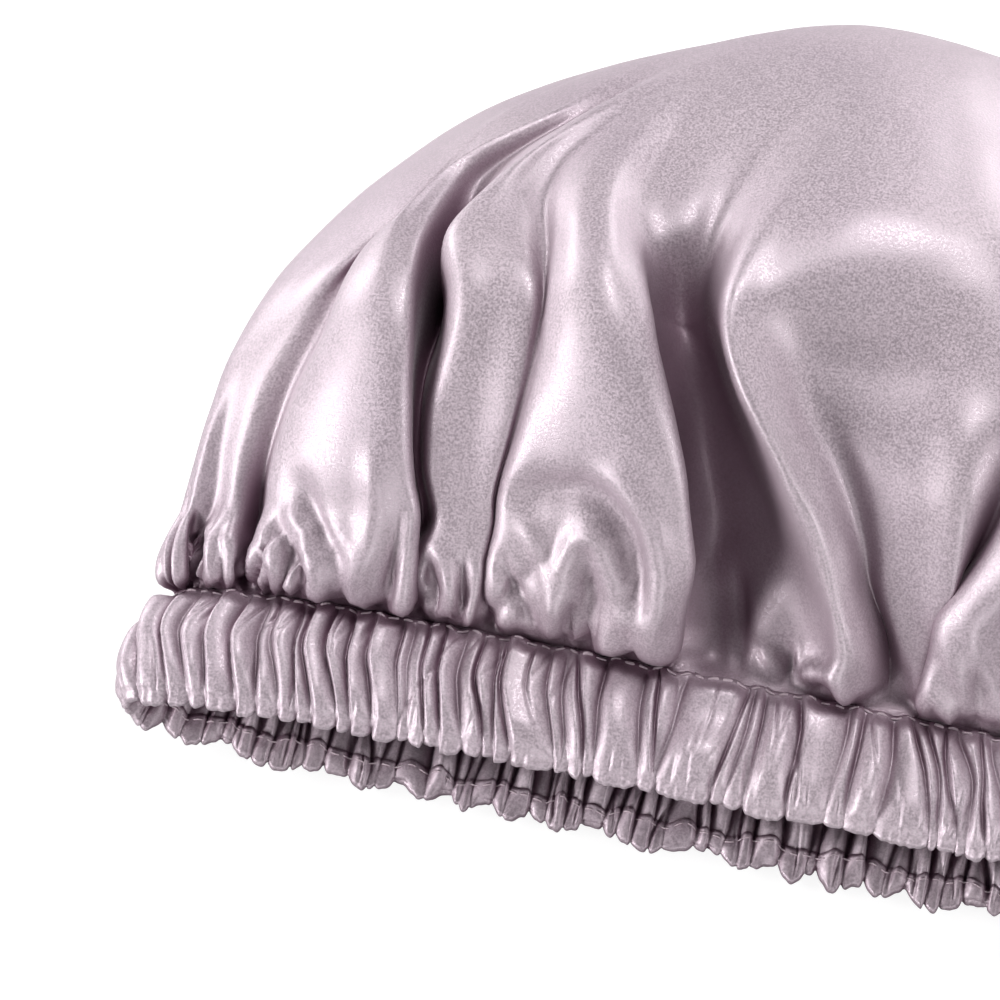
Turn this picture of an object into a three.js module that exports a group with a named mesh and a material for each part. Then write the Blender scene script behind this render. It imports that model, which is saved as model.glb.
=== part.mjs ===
// A silk bonnet lying on its side on a table, its band loop at the front (-Y) and its crown behind.
// It is sewn from a gathered crown and lining, a shirred band of two strips, and a flat elastic.
// Millimetres, +Z up. The origin is under the middle of the bonnet, on the table.
import * as THREE from "three";

// Layers of cloth and elastic
const clothThickness = 0.6; // one layer of silk, with the fluff of its small gathers
const layerGap = 0.3; // air between two layers that touch in the real bonnet
const elasticThickness = 1.0;
const elasticWidth = 19;
const elasticOverlap = 14; // length over which the two ends of the elastic lie on each other

// Band, measured on the middle of its elastic
const bandDepth = 23; // from the hem to the stitch line
const hemHalfWidth = 126;
const hemLoopHeight = 24; // from the lower run of the elastic to the upper one, at the hem
const stitchHalfWidth = 121.5;
const stitchLoopHeight = 27;
const pleatDepth = 2.2; // how far the largest shirring pleat stands off the outside
const facingPleatDepth = 1.3; // the same on the inside
const lipDepth = 3.2; // how far the outer strip turns up on the inside of the hem
const hemDrop = 0.7; // how far the hem hangs lower on a pleat than beside it
const elasticInset = 1.3; // from the hem to the lower edge of the elastic
const threadThickness = 0.5;

// Crown, measured on the middle of its two layers
const bonnetLength = 171; // from the hem to the far end
const crownHalfWidth = 122;
const crownWidestAt = 52; // from the hem
const crownHeight = 87.5;
const crownHighestAt = 78; // from the hem
const farEndHeight = 40; // height of the far end above the table
const undersideEndsAt = 100; // from the hem: behind it the underside rises to the far end
const undersideSettle = 14; // length over which the underside comes down from the band to the table
const stitchFlat = 1.2; // the crown lies flat this far behind the stitch line
const foldHeight = 10; // height of a full fold over the smooth crown
const undersideFold = 5; // depth of the gathers under the crown
const undersideFoldShare = 0.16; // share of the crown's depth at which they have run out
const pressDepth = 0.5; // how deep the weight of the bonnet presses its underside flat

// Roundness of the cross-sections: 2 is an ellipse, and a higher number is squarer
const bandRoundness = 3;
const crownTopRoundness = 2.35;
const undersideRoundness = 4;
const outlineRoundness = 1.95;
const crownSwell = 0.9; // below 1 the crown rises more steeply behind the band
const bandWidestShare = 0.5; // share of the height at which the loop is widest
const crownWidestShare = 0.38;

// Heights and reaches that follow from the sizes above
const coreReach = elasticThickness + layerGap / 2; // the two crossed ends of the elastic
const casingReach = coreReach + layerGap;
const facingReach = -casingReach;
const lipReach = facingReach - clothThickness - layerGap;
const shellReach = layerGap / 2;
const bandLift = casingReach + clothThickness + pressDepth;
const shellLift = shellReach + clothThickness - pressDepth;
const seamAllowance = bandDepth - elasticInset - elasticWidth - 2 * layerGap; // held in the band
const crownStart = bandDepth + stitchFlat;
const crownDepth = bonnetLength - crownStart;

// Resolution
const bandPleats = 68;
const bandSteps = 2 * bandPleats;
const crownRingShares = [0.03, 0.075, 0.13, 0.2, 0.3, 0.43, 0.6, 0.8];
const undersideAcrossShares = [0.985, 0.94, 0.87, 0.76, 0.62, 0.46, 0.28, 0.1];
const wideGapShare = 0.075; // two fold lines further apart than this get a column between them
const stepShare = 1e-4; // step of a numeric slope, as a share of the length

// Fold lines of the upper side, from left to right. Each is given at six places along the crown,
// as shares of its depth: how far across it runs, as a share of the half width, and how high it
// stands over the smooth crown, as a share of a full fold.
const foldAlongShares = [0, 0.07, 0.14, 0.26, 0.42, 0.65];
const foldLineShares = [
  { name: "left side", across: [-0.99, -0.99, -0.99, -0.98, -0.97, -0.95], rise: [0, 0, 0, 0, 0, 0] },
  { name: "left panel", across: [-0.95, -0.95, -0.94, -0.91, -0.87, -0.8], rise: [0, 0, 0, 0, 0, 0] },
  { name: "left foot", across: [-0.88, -0.88, -0.86, -0.84, -0.81, -0.72], rise: [-0.6, -0.4, -0.3, -0.1, 0, 0] },
  { name: "left edge", across: [-0.83, -0.84, -0.81, -0.8, -0.77, -0.68], rise: [0, 0.1, 0.2, 0.1, 0, 0] },
  { name: "left crest", across: [-0.75, -0.73, -0.73, -0.75, -0.74, -0.64], rise: [0.3, 0.6, 0.5, 0.2, 0, 0] },
  { name: "left brink", across: [-0.65, -0.64, -0.66, -0.71, -0.71, -0.6], rise: [0.1, 0.1, 0, -0.1, -0.1, 0] },
  { name: "left gully", across: [-0.6, -0.59, -0.61, -0.67, -0.67, -0.56], rise: [-0.6, -1, -1.2, -0.8, -0.4, 0] },
  { name: "second brink", across: [-0.54, -0.55, -0.56, -0.62, -0.63, -0.52], rise: [0.1, -0.1, 0, 0.3, 0.3, 0] },
  { name: "second crest", across: [-0.49, -0.52, -0.52, -0.57, -0.59, -0.48], rise: [0.2, 0, 0.1, 0.4, 0.3, 0] },
  { name: "second crease", across: [-0.45, -0.48, -0.47, -0.51, -0.56, -0.45], rise: [-0.5, -0.4, -0.4, -0.4, -0.1, 0] },
  { name: "trunk crest", across: [-0.39, -0.41, -0.41, -0.46, -0.52, -0.4], rise: [0.2, 0.5, 0.6, 0.6, 0.2, 0] },
  { name: "trunk flank", across: [-0.29, -0.31, -0.34, -0.4, -0.46, -0.35], rise: [0, 0.1, 0.3, 0.3, 0.1, 0] },
  { name: "trunk brink", across: [-0.19, -0.19, -0.27, -0.34, -0.41, -0.3], rise: [0.3, 0.1, -0.1, -0.3, -0.2, 0] },
  { name: "deep gully left", across: [-0.13, -0.14, -0.22, -0.3, -0.37, -0.27], rise: [-0.9, -1.4, -1.4, -0.9, -0.3, 0] },
  { name: "deep gully right", across: [-0.02, -0.05, -0.15, -0.23, -0.29, -0.21], rise: [-0.7, -1.1, -1.2, -0.7, -0.2, 0] },
  { name: "lash crest", across: [0.07, 0.03, -0.08, -0.17, -0.2, -0.14], rise: [0.3, 0.4, 0.4, 0.4, 0.2, 0] },
  { name: "lash flank", across: [0.12, 0.08, -0.02, -0.11, -0.12, -0.08], rise: [0, 0, 0, 0, 0.1, 0] },
  { name: "middle crease", across: [0.155, 0.12, 0.03, -0.05, -0.04, -0.03], rise: [-0.8, -0.5, -0.4, -0.3, 0, 0] },
  { name: "middle panel", across: [0.18, 0.18, 0.13, 0.08, 0.08, 0.06], rise: [-0.6, 0, 0, -0.2, 0.1, 0] },
  { name: "middle crest", across: [0.2, 0.23, 0.22, 0.2, 0.18, 0.14], rise: [-0.7, 0.2, 0.3, 0, 0.1, 0] },
  { name: "lap foot", across: [0.22, 0.26, 0.29, 0.3, 0.27, 0.21], rise: [-0.8, -0.5, -0.3, -0.1, 0, 0] },
  { name: "lap brink", across: [0.25, 0.29, 0.32, 0.33, 0.3, 0.24], rise: [0.1, 0.2, 0.1, 0, 0, 0] },
  { name: "lap crest", across: [0.3, 0.33, 0.37, 0.37, 0.34, 0.28], rise: [0.3, 0.5, 0.4, 0.2, 0, 0] },
  { name: "fourth gully", across: [0.42, 0.44, 0.46, 0.45, 0.41, 0.34], rise: [-0.7, -1, -0.8, -0.4, -0.1, 0] },
  { name: "fourth crest", across: [0.53, 0.54, 0.54, 0.52, 0.48, 0.41], rise: [0.3, 0.5, 0.5, 0.3, 0.1, 0] },
  { name: "fifth gully", across: [0.64, 0.63, 0.62, 0.6, 0.55, 0.47], rise: [-0.6, -0.8, -0.6, -0.2, 0, 0] },
  { name: "fifth crest", across: [0.73, 0.72, 0.71, 0.69, 0.64, 0.55], rise: [0.3, 0.5, 0.4, 0.2, 0, 0] },
  { name: "right gully", across: [0.81, 0.81, 0.8, 0.78, 0.73, 0.64], rise: [-0.5, -0.5, -0.3, -0.1, 0, 0] },
  { name: "right crest", across: [0.88, 0.89, 0.88, 0.86, 0.82, 0.74], rise: [0.1, 0.3, 0.2, 0.1, 0, 0] },
  { name: "right panel", across: [0.95, 0.95, 0.94, 0.93, 0.9, 0.83], rise: [0, 0, 0, 0, 0, 0] },
  { name: "right side", across: [0.99, 0.99, 0.99, 0.98, 0.97, 0.95], rise: [0, 0, 0, 0, 0, 0] },
];

function smoothStep(value) {
  const share = THREE.MathUtils.clamp(value, 0, 1);
  return share * share * (3 - 2 * share);
}

function mix(from, to, share) {
  return from + (to - from) * share;
}

// A value from a table given at the fold stations, for a share of the crown's depth
function alongValue(values, share) {
  const last = foldAlongShares.length - 1;
  if (share >= foldAlongShares[last]) {
    return values[last];
  }
  let station = 0;
  while (share > foldAlongShares[station + 1]) {
    station += 1;
  }
  const span = foldAlongShares[station + 1] - foldAlongShares[station];
  return mix(values[station], values[station + 1], smoothStep((share - foldAlongShares[station]) / span));
}

// Width, heights and roundness of the smooth bonnet's cross-section at a distance from the hem
function sectionAt(distance) {
  if (distance <= crownStart) {
    const share = Math.min(distance / bandDepth, 1);
    return {
      halfWidth: mix(hemHalfWidth, stitchHalfWidth, smoothStep(2 * share - 1)),
      low: bandLift,
      high: bandLift + mix(hemLoopHeight, stitchLoopHeight, share),
      widest: bandWidestShare,
      topRoundness: bandRoundness,
      underRoundness: bandRoundness,
    };
  }
  const widening = (distance - crownStart) / (crownWidestAt - crownStart);
  const narrowing = THREE.MathUtils.clamp((distance - crownWidestAt) / (bonnetLength - crownWidestAt), 0, 1);
  const rising = (distance - crownStart) / (crownHighestAt - crownStart);
  const falling = THREE.MathUtils.clamp((distance - crownHighestAt) / (bonnetLength - crownHighestAt), 0, 1);
  const lifting = THREE.MathUtils.clamp((distance - undersideEndsAt) / (bonnetLength - undersideEndsAt), 0, 1);
  const settling = smoothStep((distance - crownStart) / undersideSettle);
  const stitchHigh = bandLift + stitchLoopHeight;
  const rise = Math.sin((Math.min(rising, 1) * Math.PI) / 2) ** crownSwell;
  const arch = Math.sqrt(1 - falling ** 2);
  const outline = (1 - narrowing ** outlineRoundness) ** (1 / outlineRoundness);
  const table = mix(bandLift, shellLift, settling);
  return {
    halfWidth: mix(stitchHalfWidth, crownHalfWidth, smoothStep(widening)) * outline,
    low: mix(farEndHeight, table, Math.sqrt(1 - lifting ** 2)),
    high: rising < 1 ? mix(stitchHigh, crownHeight, rise) : mix(farEndHeight, crownHeight, arch),
    widest: mix(bandWidestShare, crownWidestShare, settling),
    topRoundness: mix(bandRoundness, crownTopRoundness, settling),
    underRoundness: mix(bandRoundness, undersideRoundness, settling),
  };
}

// A point of the smooth bonnet: across is -1 at its left side and 1 at its right side
function smoothPoint(distance, across, isTop) {
  const section = sectionAt(distance);
  const middle = mix(section.low, section.high, section.widest);
  const roundness = isTop ? section.topRoundness : section.underRoundness;
  const reach = isTop ? section.high - middle : section.low - middle;
  const bulge = (1 - Math.abs(across) ** roundness) ** (1 / roundness);
  return new THREE.Vector3(section.halfWidth * across, distance, middle + reach * bulge);
}

// The outward direction there
function smoothNormal(distance, across, isTop) {
  const section = sectionAt(distance);
  const middle = mix(section.low, section.high, section.widest);
  const roundness = isTop ? section.topRoundness : section.underRoundness;
  const reach = isTop ? section.high - middle : section.low - middle;
  const bulge = (1 - Math.abs(across) ** roundness) ** (1 / roundness);
  const slopeX = (Math.sign(across) * Math.abs(across) ** (roundness - 1)) / section.halfWidth;
  const slopeZ = bulge ** (roundness - 1) / reach;
  const aroundLoop = new THREE.Vector3(-slopeZ, 0, slopeX);
  const step = stepShare * bonnetLength;
  const aheadStep = distance > crownStart ? step : 0;
  const ahead = smoothPoint(Math.min(distance + aheadStep, bonnetLength), across, isTop);
  const behind = smoothPoint(distance - step, across, isTop);
  const alongCrown = ahead.sub(behind);
  const normal = aroundLoop.cross(alongCrown).normalize();
  const outward = slopeX * normal.x + slopeZ * normal.z;
  return outward < 0 ? normal.negate() : normal;
}

// A point of a layer: reach is its distance outward, and it never sinks below its own floor
function layerPoint(distance, across, isTop, reach, floor) {
  const point = smoothPoint(distance, across, isTop);
  point.addScaledVector(smoothNormal(distance, across, isTop), reach);
  point.z = Math.max(point.z, floor);
  return point;
}

// A closed mesh from columns of points, joined side by side. Each column is a profile that closes
// on itself, or with poles it runs from one shared point to another. From the turn row on, where the
// profile comes back on the inside, the diagonals flip, so that both sides of a cloth fold alike.
// An open row of columns gets flat caps at both ends.
function loftGeometry(columns, { poles = false, openEnds = false, turnRow = Infinity } = {}) {
  const rows = columns[0].length;
  const positions = [];
  const index = [];
  const first = columns.map((column, number) => column.map((point, row) => {
    const isShared = poles && number > 0 && (row === 0 || row === rows - 1);
    if (isShared) {
      return row === 0 ? 0 : rows - 1;
    }
    positions.push(point.x, point.y, point.z);
    return positions.length / 3 - 1;
  }));
  const columnPairs = openEnds ? columns.length - 1 : columns.length;
  const rowPairs = poles ? rows - 1 : rows;
  for (let column = 0; column < columnPairs; column += 1) {
    const here = first[column];
    const next = first[(column + 1) % columns.length];
    for (let row = 0; row < rowPairs; row += 1) {
      const below = (row + 1) % rows;
      const isTurned = row >= turnRow;
      if (here[row] !== next[row]) {
        index.push(here[row], next[row], isTurned ? here[below] : next[below]);
      }
      if (here[below] !== next[below]) {
        index.push(isTurned ? next[row] : here[row], next[below], here[below]);
      }
    }
  }
  if (openEnds) {
    const start = first[0];
    const end = first[columns.length - 1];
    for (let row = 1; row < rows - 1; row += 1) {
      index.push(start[0], start[row], start[row + 1]);
      index.push(end[0], end[row + 1], end[row]);
    }
  }
  const geometry = new THREE.BufferGeometry();
  geometry.setAttribute("position", new THREE.Float32BufferAttribute(positions, 3));
  geometry.setIndex(signedVolume(positions, index) < 0 ? index.reverse() : index);
  geometry.computeVertexNormals();
  return geometry;
}

function signedVolume(positions, index) {
  const corner = (number) => new THREE.Vector3().fromArray(positions, 3 * index[number]);
  let volume = 0;
  for (let number = 0; number < index.length; number += 3) {
    volume += corner(number).dot(corner(number + 1).cross(corner(number + 2))) / 6;
  }
  return volume;
}

// Columns of the crown, once round: the fold lines over the top, then the underside back again
function crownColumns() {
  const columns = [{ isTop: true, across: () => -1, rise: () => 0 }];
  foldLineShares.forEach((line, number) => {
    columns.push({
      isTop: true,
      across: (share) => alongValue(line.across, share),
      rise: (share) => alongValue(line.rise, share),
    });
    const next = foldLineShares[number + 1];
    if (next && next.across[1] - line.across[1] > wideGapShare) {
      columns.push(columnBetween(number));
    }
  });
  columns.push({ isTop: true, across: () => 1, rise: () => 0 });
  const leftShares = undersideAcrossShares.map((share) => -share).reverse();
  [...undersideAcrossShares, ...leftShares].forEach((across, number) => {
    const isGather = number % 2 === 1;
    columns.push({
      isTop: false,
      across: () => across,
      rise: (share) => {
        const fade = 1 - smoothStep(share / undersideFoldShare);
        return isGather ? (-undersideFold / foldHeight) * fade : 0;
      },
    });
  });
  return columns;
}

// A column midway between two fold lines, on a smooth curve through their neighbours
function columnBetween(number) {
  const [before, left, right, after] = [number - 1, number, number + 1, number + 2]
    .map((place) => foldLineShares[THREE.MathUtils.clamp(place, 0, foldLineShares.length - 1)]);
  return {
    isTop: true,
    across: (share) => mix(alongValue(left.across, share), alongValue(right.across, share), 1 / 2),
    rise: (share) => {
      const near = alongValue(left.rise, share) + alongValue(right.rise, share);
      const far = alongValue(before.rise, share) + alongValue(after.rise, share);
      return (9 * near - far) / 16;
    },
  };
}

// Places along the crown for its rings: its held edge, the stitch line and then behind it
function crownRings() {
  const rings = [bandDepth - seamAllowance, crownStart].map((distance) => {
    return { distance, share: 0, isFolded: false };
  });
  for (const share of crownRingShares) {
    const distance = crownStart + crownDepth * Math.sin((share * Math.PI) / 2);
    rings.push({ distance, share, isFolded: true });
  }
  return rings;
}

// One layer of the crown between two reaches, each with the floor that it is pressed to
function crownLayer(outerReach, outerFloor) {
  const innerReach = outerReach - clothThickness;
  const innerFloor = outerFloor + clothThickness;
  const rings = crownRings();
  const skin = (column, reach, floor) => rings.map(({ distance, share, isFolded }) => {
    const rise = isFolded ? foldHeight * column.rise(share) : 0;
    return layerPoint(distance, column.across(share), column.isTop, rise + reach, floor);
  });
  const pole = (reach) => new THREE.Vector3(0, bonnetLength + reach, farEndHeight);
  const columns = crownColumns().map((column) => [
    pole(outerReach),
    ...skin(column, outerReach, outerFloor).reverse(),
    ...skin(column, innerReach, innerFloor),
    pole(innerReach),
  ]);
  return loftGeometry(columns, { poles: true, turnRow: rings.length + 1 });
}

// Places round the band loop at even steps of its length, as across and side
function loopStations(count) {
  const fine = 40 * count;
  const places = [];
  for (let number = 0; number <= fine; number += 1) {
    const angle = Math.PI - (number / fine) * 2 * Math.PI;
    const cosine = Math.cos(angle);
    const across = Math.sign(cosine) * Math.abs(cosine) ** (2 / bandRoundness);
    places.push({ across, isTop: number <= fine / 2, travel: 0 });
  }
  for (let number = 1; number <= fine; number += 1) {
    const here = smoothPoint(0, places[number].across, places[number].isTop);
    const last = smoothPoint(0, places[number - 1].across, places[number - 1].isTop);
    places[number].travel = places[number - 1].travel + here.distanceTo(last);
  }
  const length = places[fine].travel;
  const stations = [];
  let number = 0;
  for (let step = 0; step < count; step += 1) {
    while (places[number].travel < (length * step) / count) {
      number += 1;
    }
    stations.push(places[number]);
  }
  return { stations, length };
}

// Depth of a pleat as a share: every other station is a crest, and no two crests are alike
function pleatShare(number) {
  const isCrest = number % 2 === 1;
  const variation = Math.sin(2.4 * number) * Math.sin(0.7 * number + 1);
  return isCrest ? 0.75 + 0.25 * variation : 0.08 + 0.08 * variation;
}

// Outer strip of the band: it covers the elastic outside and turns up inside the hem
function casingGeometry() {
  const { stations } = loopStations(bandSteps);
  const columns = stations.map(({ across, isTop }, number) => {
    const share = pleatShare(number);
    const drop = hemDrop * share;
    const pleat = isTop ? pleatDepth * share : Math.min(pleatDepth * share, 2 * pressDepth);
    const outer = casingReach + clothThickness + pleat;
    const inner = casingReach + pleat;
    const hemTurn = elasticInset - layerGap;
    const place = (distance, reach, floor) => layerPoint(distance, across, isTop, reach, floor);
    return [
      place(bandDepth, outer, 0),
      place(hemTurn, outer, 0),
      place(-drop, casingReach, 0),
      place(-drop, lipReach - clothThickness / 2, 0),
      place(lipDepth, lipReach - clothThickness, 0),
      place(lipDepth, lipReach, 0),
      place(hemTurn, lipReach, 0),
      place(hemTurn, inner, clothThickness),
      place(bandDepth, inner, clothThickness),
    ];
  });
  return loftGeometry(columns, { turnRow: 5 });
}

// Inner strip of the band: flat where it is tucked behind the turned-up lip, and pleated above
function facingGeometry() {
  const { stations } = loopStations(bandSteps);
  const columns = stations.map(({ across, isTop }, number) => {
    const pleat = facingPleatDepth * pleatShare(number + 1);
    const place = (distance, reach) => layerPoint(distance, across, isTop, reach, 0);
    return [
      place(elasticInset, facingReach),
      place(lipDepth + layerGap, facingReach),
      place(bandDepth, facingReach - pleat),
      place(bandDepth, facingReach - pleat - clothThickness),
      place(lipDepth + layerGap, facingReach - clothThickness),
      place(elasticInset, facingReach - clothThickness),
    ];
  });
  return loftGeometry(columns, { turnRow: 3 });
}

// Flat elastic in the band, joined into a loop with its ends lapped under the bonnet
function elasticGeometry() {
  const { stations, length } = loopStations(bandSteps);
  const lapSteps = Math.ceil((elasticOverlap * bandSteps) / length);
  const lapStart = Math.round((3 * bandSteps) / 4);
  const apart = (elasticThickness + layerGap) / 2;
  const columns = [];
  for (let step = 0; step <= bandSteps + lapSteps; step += 1) {
    const { across, isTop } = stations[(lapStart + step) % bandSteps];
    const isFirstEnd = step <= lapSteps;
    const isLastEnd = step >= bandSteps;
    const shift = isFirstEnd ? -apart : isLastEnd ? apart : 0;
    const place = (distance, reach) => layerPoint(distance, across, isTop, reach + shift, 0);
    columns.push([
      place(elasticInset, elasticThickness / 2),
      place(elasticInset + elasticWidth, elasticThickness / 2),
      place(elasticInset + elasticWidth, -elasticThickness / 2),
      place(elasticInset, -elasticThickness / 2),
    ]);
  }
  return loftGeometry(columns, { openEnds: true });
}

// A line of stitching once round the band, drawn as one thread with three sides
function threadGeometry(distance, reach) {
  const { stations } = loopStations(bandSteps);
  const columns = stations.map(({ across, isTop }) => {
    const place = (along, out) => layerPoint(distance + along, across, isTop, reach + out, 0);
    return [place(0, 0), place(threadThickness, 0), place(threadThickness / 2, threadThickness)];
  });
  return loftGeometry(columns);
}

const materials = {
  silk: new THREE.MeshStandardMaterial({ color: 0xb8a6b0, roughness: 0.35, metalness: 0.2 }),
  liningSilk: new THREE.MeshStandardMaterial({ color: 0xa897a1, roughness: 0.45, metalness: 0.1 }),
  elastic: new THREE.MeshStandardMaterial({ color: 0xe6e2e0, roughness: 0.85, metalness: 0 }),
  thread: new THREE.MeshStandardMaterial({ color: 0xd9cdd4, roughness: 0.6, metalness: 0 }),
};

function addPiece(group, name, geometry, material) {
  const mesh = new THREE.Mesh(geometry, material);
  mesh.name = name;
  group.add(mesh);
}

const bonnet = new THREE.Group();
const liningFloor = clothThickness + layerGap;
const topstitchReach = shellReach + clothThickness + layerGap;
addPiece(bonnet, "crown_shell", crownLayer(shellReach + clothThickness, 0), materials.silk);
addPiece(bonnet, "crown_lining", crownLayer(-shellReach, liningFloor), materials.liningSilk);
addPiece(bonnet, "band_casing", casingGeometry(), materials.silk);
addPiece(bonnet, "band_facing", facingGeometry(), materials.liningSilk);
addPiece(bonnet, "elastic_loop", elasticGeometry(), materials.elastic);
addPiece(bonnet, "topstitch_thread", threadGeometry(bandDepth + layerGap, topstitchReach), materials.thread);
addPiece(bonnet, "hem_stitch_thread", threadGeometry(lipDepth + layerGap, lipReach - threadThickness), materials.thread);

// The origin goes to the middle of the bonnet's box, at table height
const box = new THREE.Box3().setFromObject(bonnet);
const centre = box.getCenter(new THREE.Vector3());
bonnet.position.set(-centre.x, -centre.y, -box.min.z);

const part = new THREE.Group();
part.add(bonnet);
export default part;
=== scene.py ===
import math
import bpy
import numpy as np
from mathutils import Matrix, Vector


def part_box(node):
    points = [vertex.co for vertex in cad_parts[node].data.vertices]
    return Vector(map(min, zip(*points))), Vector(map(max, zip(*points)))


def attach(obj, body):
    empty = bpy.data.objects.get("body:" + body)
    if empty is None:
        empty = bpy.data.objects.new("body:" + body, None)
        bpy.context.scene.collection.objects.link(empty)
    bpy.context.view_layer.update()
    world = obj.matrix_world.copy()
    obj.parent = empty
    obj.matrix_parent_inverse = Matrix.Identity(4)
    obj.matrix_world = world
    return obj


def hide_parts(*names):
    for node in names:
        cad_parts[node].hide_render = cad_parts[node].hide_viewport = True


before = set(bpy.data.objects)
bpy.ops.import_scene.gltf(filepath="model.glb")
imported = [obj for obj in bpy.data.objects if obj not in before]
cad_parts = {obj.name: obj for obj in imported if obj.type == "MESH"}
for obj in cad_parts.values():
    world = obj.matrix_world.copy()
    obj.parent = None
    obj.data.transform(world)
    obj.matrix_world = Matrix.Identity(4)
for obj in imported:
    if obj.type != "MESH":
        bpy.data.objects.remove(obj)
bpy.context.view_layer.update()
MM = 0.001

# Sizes in millimetres, as in the CAD source. Distances run from the hem to the far end.
ELASTIC_THICKNESS, LAYER_GAP, CLOTH, PRESS_DEPTH = 1.0, 0.3, 0.6, 0.5
BAND_DEPTH, HEM_HALF, HEM_LOOP, STITCH_HALF, STITCH_LOOP = 23.0, 126.0, 24.0, 121.5, 27.0
BONNET_LENGTH, CROWN_HALF, WIDEST_AT, CROWN_HEIGHT, HIGHEST_AT = 171.0, 122.0, 52.0, 87.5, 78.0
FAR_END_HEIGHT, UNDERSIDE_ENDS_AT, UNDERSIDE_SETTLE = 40.0, 100.0, 14.0
BAND_ROUND, TOP_ROUND, UNDER_ROUND, OUTLINE_ROUND, SWELL = 3.0, 2.35, 4.0, 1.95, 0.9
BAND_WIDEST, CROWN_WIDEST = 0.5, 0.38
CORE_REACH = ELASTIC_THICKNESS + LAYER_GAP / 2
CASING_REACH = CORE_REACH + LAYER_GAP
BAND_LIFT = CASING_REACH + CLOTH + PRESS_DEPTH
SHELL_REACH = LAYER_GAP / 2
SHELL_LIFT = SHELL_REACH + CLOTH - PRESS_DEPTH
SEAM_WIDTH = 1.2
CROWN_START = BAND_DEPTH + SEAM_WIDTH
CROWN_DEPTH = BONNET_LENGTH - CROWN_START
# Thickness of the cloth as it is shown, and how close it comes to the table
SILK, BAND_SILK, LINING_SILK = 0.32, 0.28, 0.3
FLOOR_GAP, LINING_FLOOR_GAP = 0.02, 0.7

far_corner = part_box("crown_shell")[1]
SHIFT = np.array([0.0, far_corner.y / MM - (BONNET_LENGTH + SHELL_REACH + CLOTH), 0.0])


def smooth_step(value):
    value = np.clip(value, 0, 1)
    return value * value * (3 - 2 * value)


def mix(a, b, share):
    return a + (b - a) * share


# The smooth bonnet
def distance_of(t):
    """Distance from the hem for a row number: 0 at the stitch line, 1 at the far end."""
    t = np.asarray(t, float)
    return CROWN_START + CROWN_DEPTH * np.where(t > 0, np.sin(np.clip(t, 0, 1) * np.pi / 2), t * np.pi / 2)


def section(distance):
    """Half width, lowest and highest height, height share of the widest place and the two roundings."""
    d = np.asarray(distance, float)
    share = np.minimum(d / BAND_DEPTH, 1)
    widening = (d - CROWN_START) / (WIDEST_AT - CROWN_START)
    narrowing = np.clip((d - WIDEST_AT) / (BONNET_LENGTH - WIDEST_AT), 0, 1)
    rising = np.clip((d - CROWN_START) / (HIGHEST_AT - CROWN_START), 0, 1)
    falling = np.clip((d - HIGHEST_AT) / (BONNET_LENGTH - HIGHEST_AT), 0, 1)
    lifting = np.clip((d - UNDERSIDE_ENDS_AT) / (BONNET_LENGTH - UNDERSIDE_ENDS_AT), 0, 1)
    settling = smooth_step((d - CROWN_START) / UNDERSIDE_SETTLE)
    stitch_high = BAND_LIFT + STITCH_LOOP
    arch = np.sqrt(1 - falling ** 2)
    outline = (1 - narrowing ** OUTLINE_ROUND) ** (1 / OUTLINE_ROUND)
    table = mix(BAND_LIFT, SHELL_LIFT, settling)
    band = d <= CROWN_START
    half = np.where(band, mix(HEM_HALF, STITCH_HALF, smooth_step(2 * share - 1)),
                    mix(STITCH_HALF, CROWN_HALF, smooth_step(widening)) * outline)
    low = np.where(band, BAND_LIFT, mix(FAR_END_HEIGHT, table, np.sqrt(1 - lifting ** 2)))
    high = np.where(band, BAND_LIFT + mix(HEM_LOOP, STITCH_LOOP, share),
                    np.where(rising < 1, mix(stitch_high, CROWN_HEIGHT, np.sin(rising * np.pi / 2) ** SWELL),
                             mix(FAR_END_HEIGHT, CROWN_HEIGHT, arch)))
    return (half, low, high, mix(BAND_WIDEST, CROWN_WIDEST, settling),
            mix(BAND_ROUND, TOP_ROUND, settling), mix(BAND_ROUND, UNDER_ROUND, settling))


def base_parts(distance, theta):
    """A point of the smooth bonnet at an angle round its section, and the slopes of its normal."""
    half, low, high, widest, n_top, n_under = section(distance)
    c, s = np.cos(theta), np.sin(theta)
    n = np.where(s >= 0, n_top, n_under)
    across = np.sign(c) * np.abs(c) ** (2 / n)
    bulge = np.abs(s) ** (2 / n)
    middle = mix(low, high, widest)
    reach = np.where(s >= 0, high - middle, low - middle)
    point = np.stack(np.broadcast_arrays(half * across, distance, middle + reach * bulge), -1)
    slope_x = np.sign(across) * np.abs(across) ** (n - 1) / np.maximum(half, 1e-3)
    slope_z = bulge ** (n - 1) / np.where(np.abs(reach) < 1e-3, 1e-3, reach)
    return point, slope_x, slope_z


def base_point(distance, theta):
    return base_parts(distance, theta)[0]


def base_normal(distance, theta):
    distance = np.asarray(distance, float)
    _, slope_x, slope_z = base_parts(distance, theta)
    step = 0.02
    capped = np.minimum(distance + step, BONNET_LENGTH - 1e-3)
    ahead = base_point(np.where(distance > CROWN_START, capped, distance), theta)
    behind = base_point(distance - step, theta)
    around = np.stack([-slope_z, 0 * slope_x, slope_x], -1)
    normal = np.cross(around, ahead - behind)
    normal /= np.linalg.norm(normal, axis=-1, keepdims=True) + 1e-12
    agreement = slope_x * normal[..., 0] + slope_z * normal[..., 2]
    return normal * np.where(agreement < 0, -1, 1)[..., None]


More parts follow.
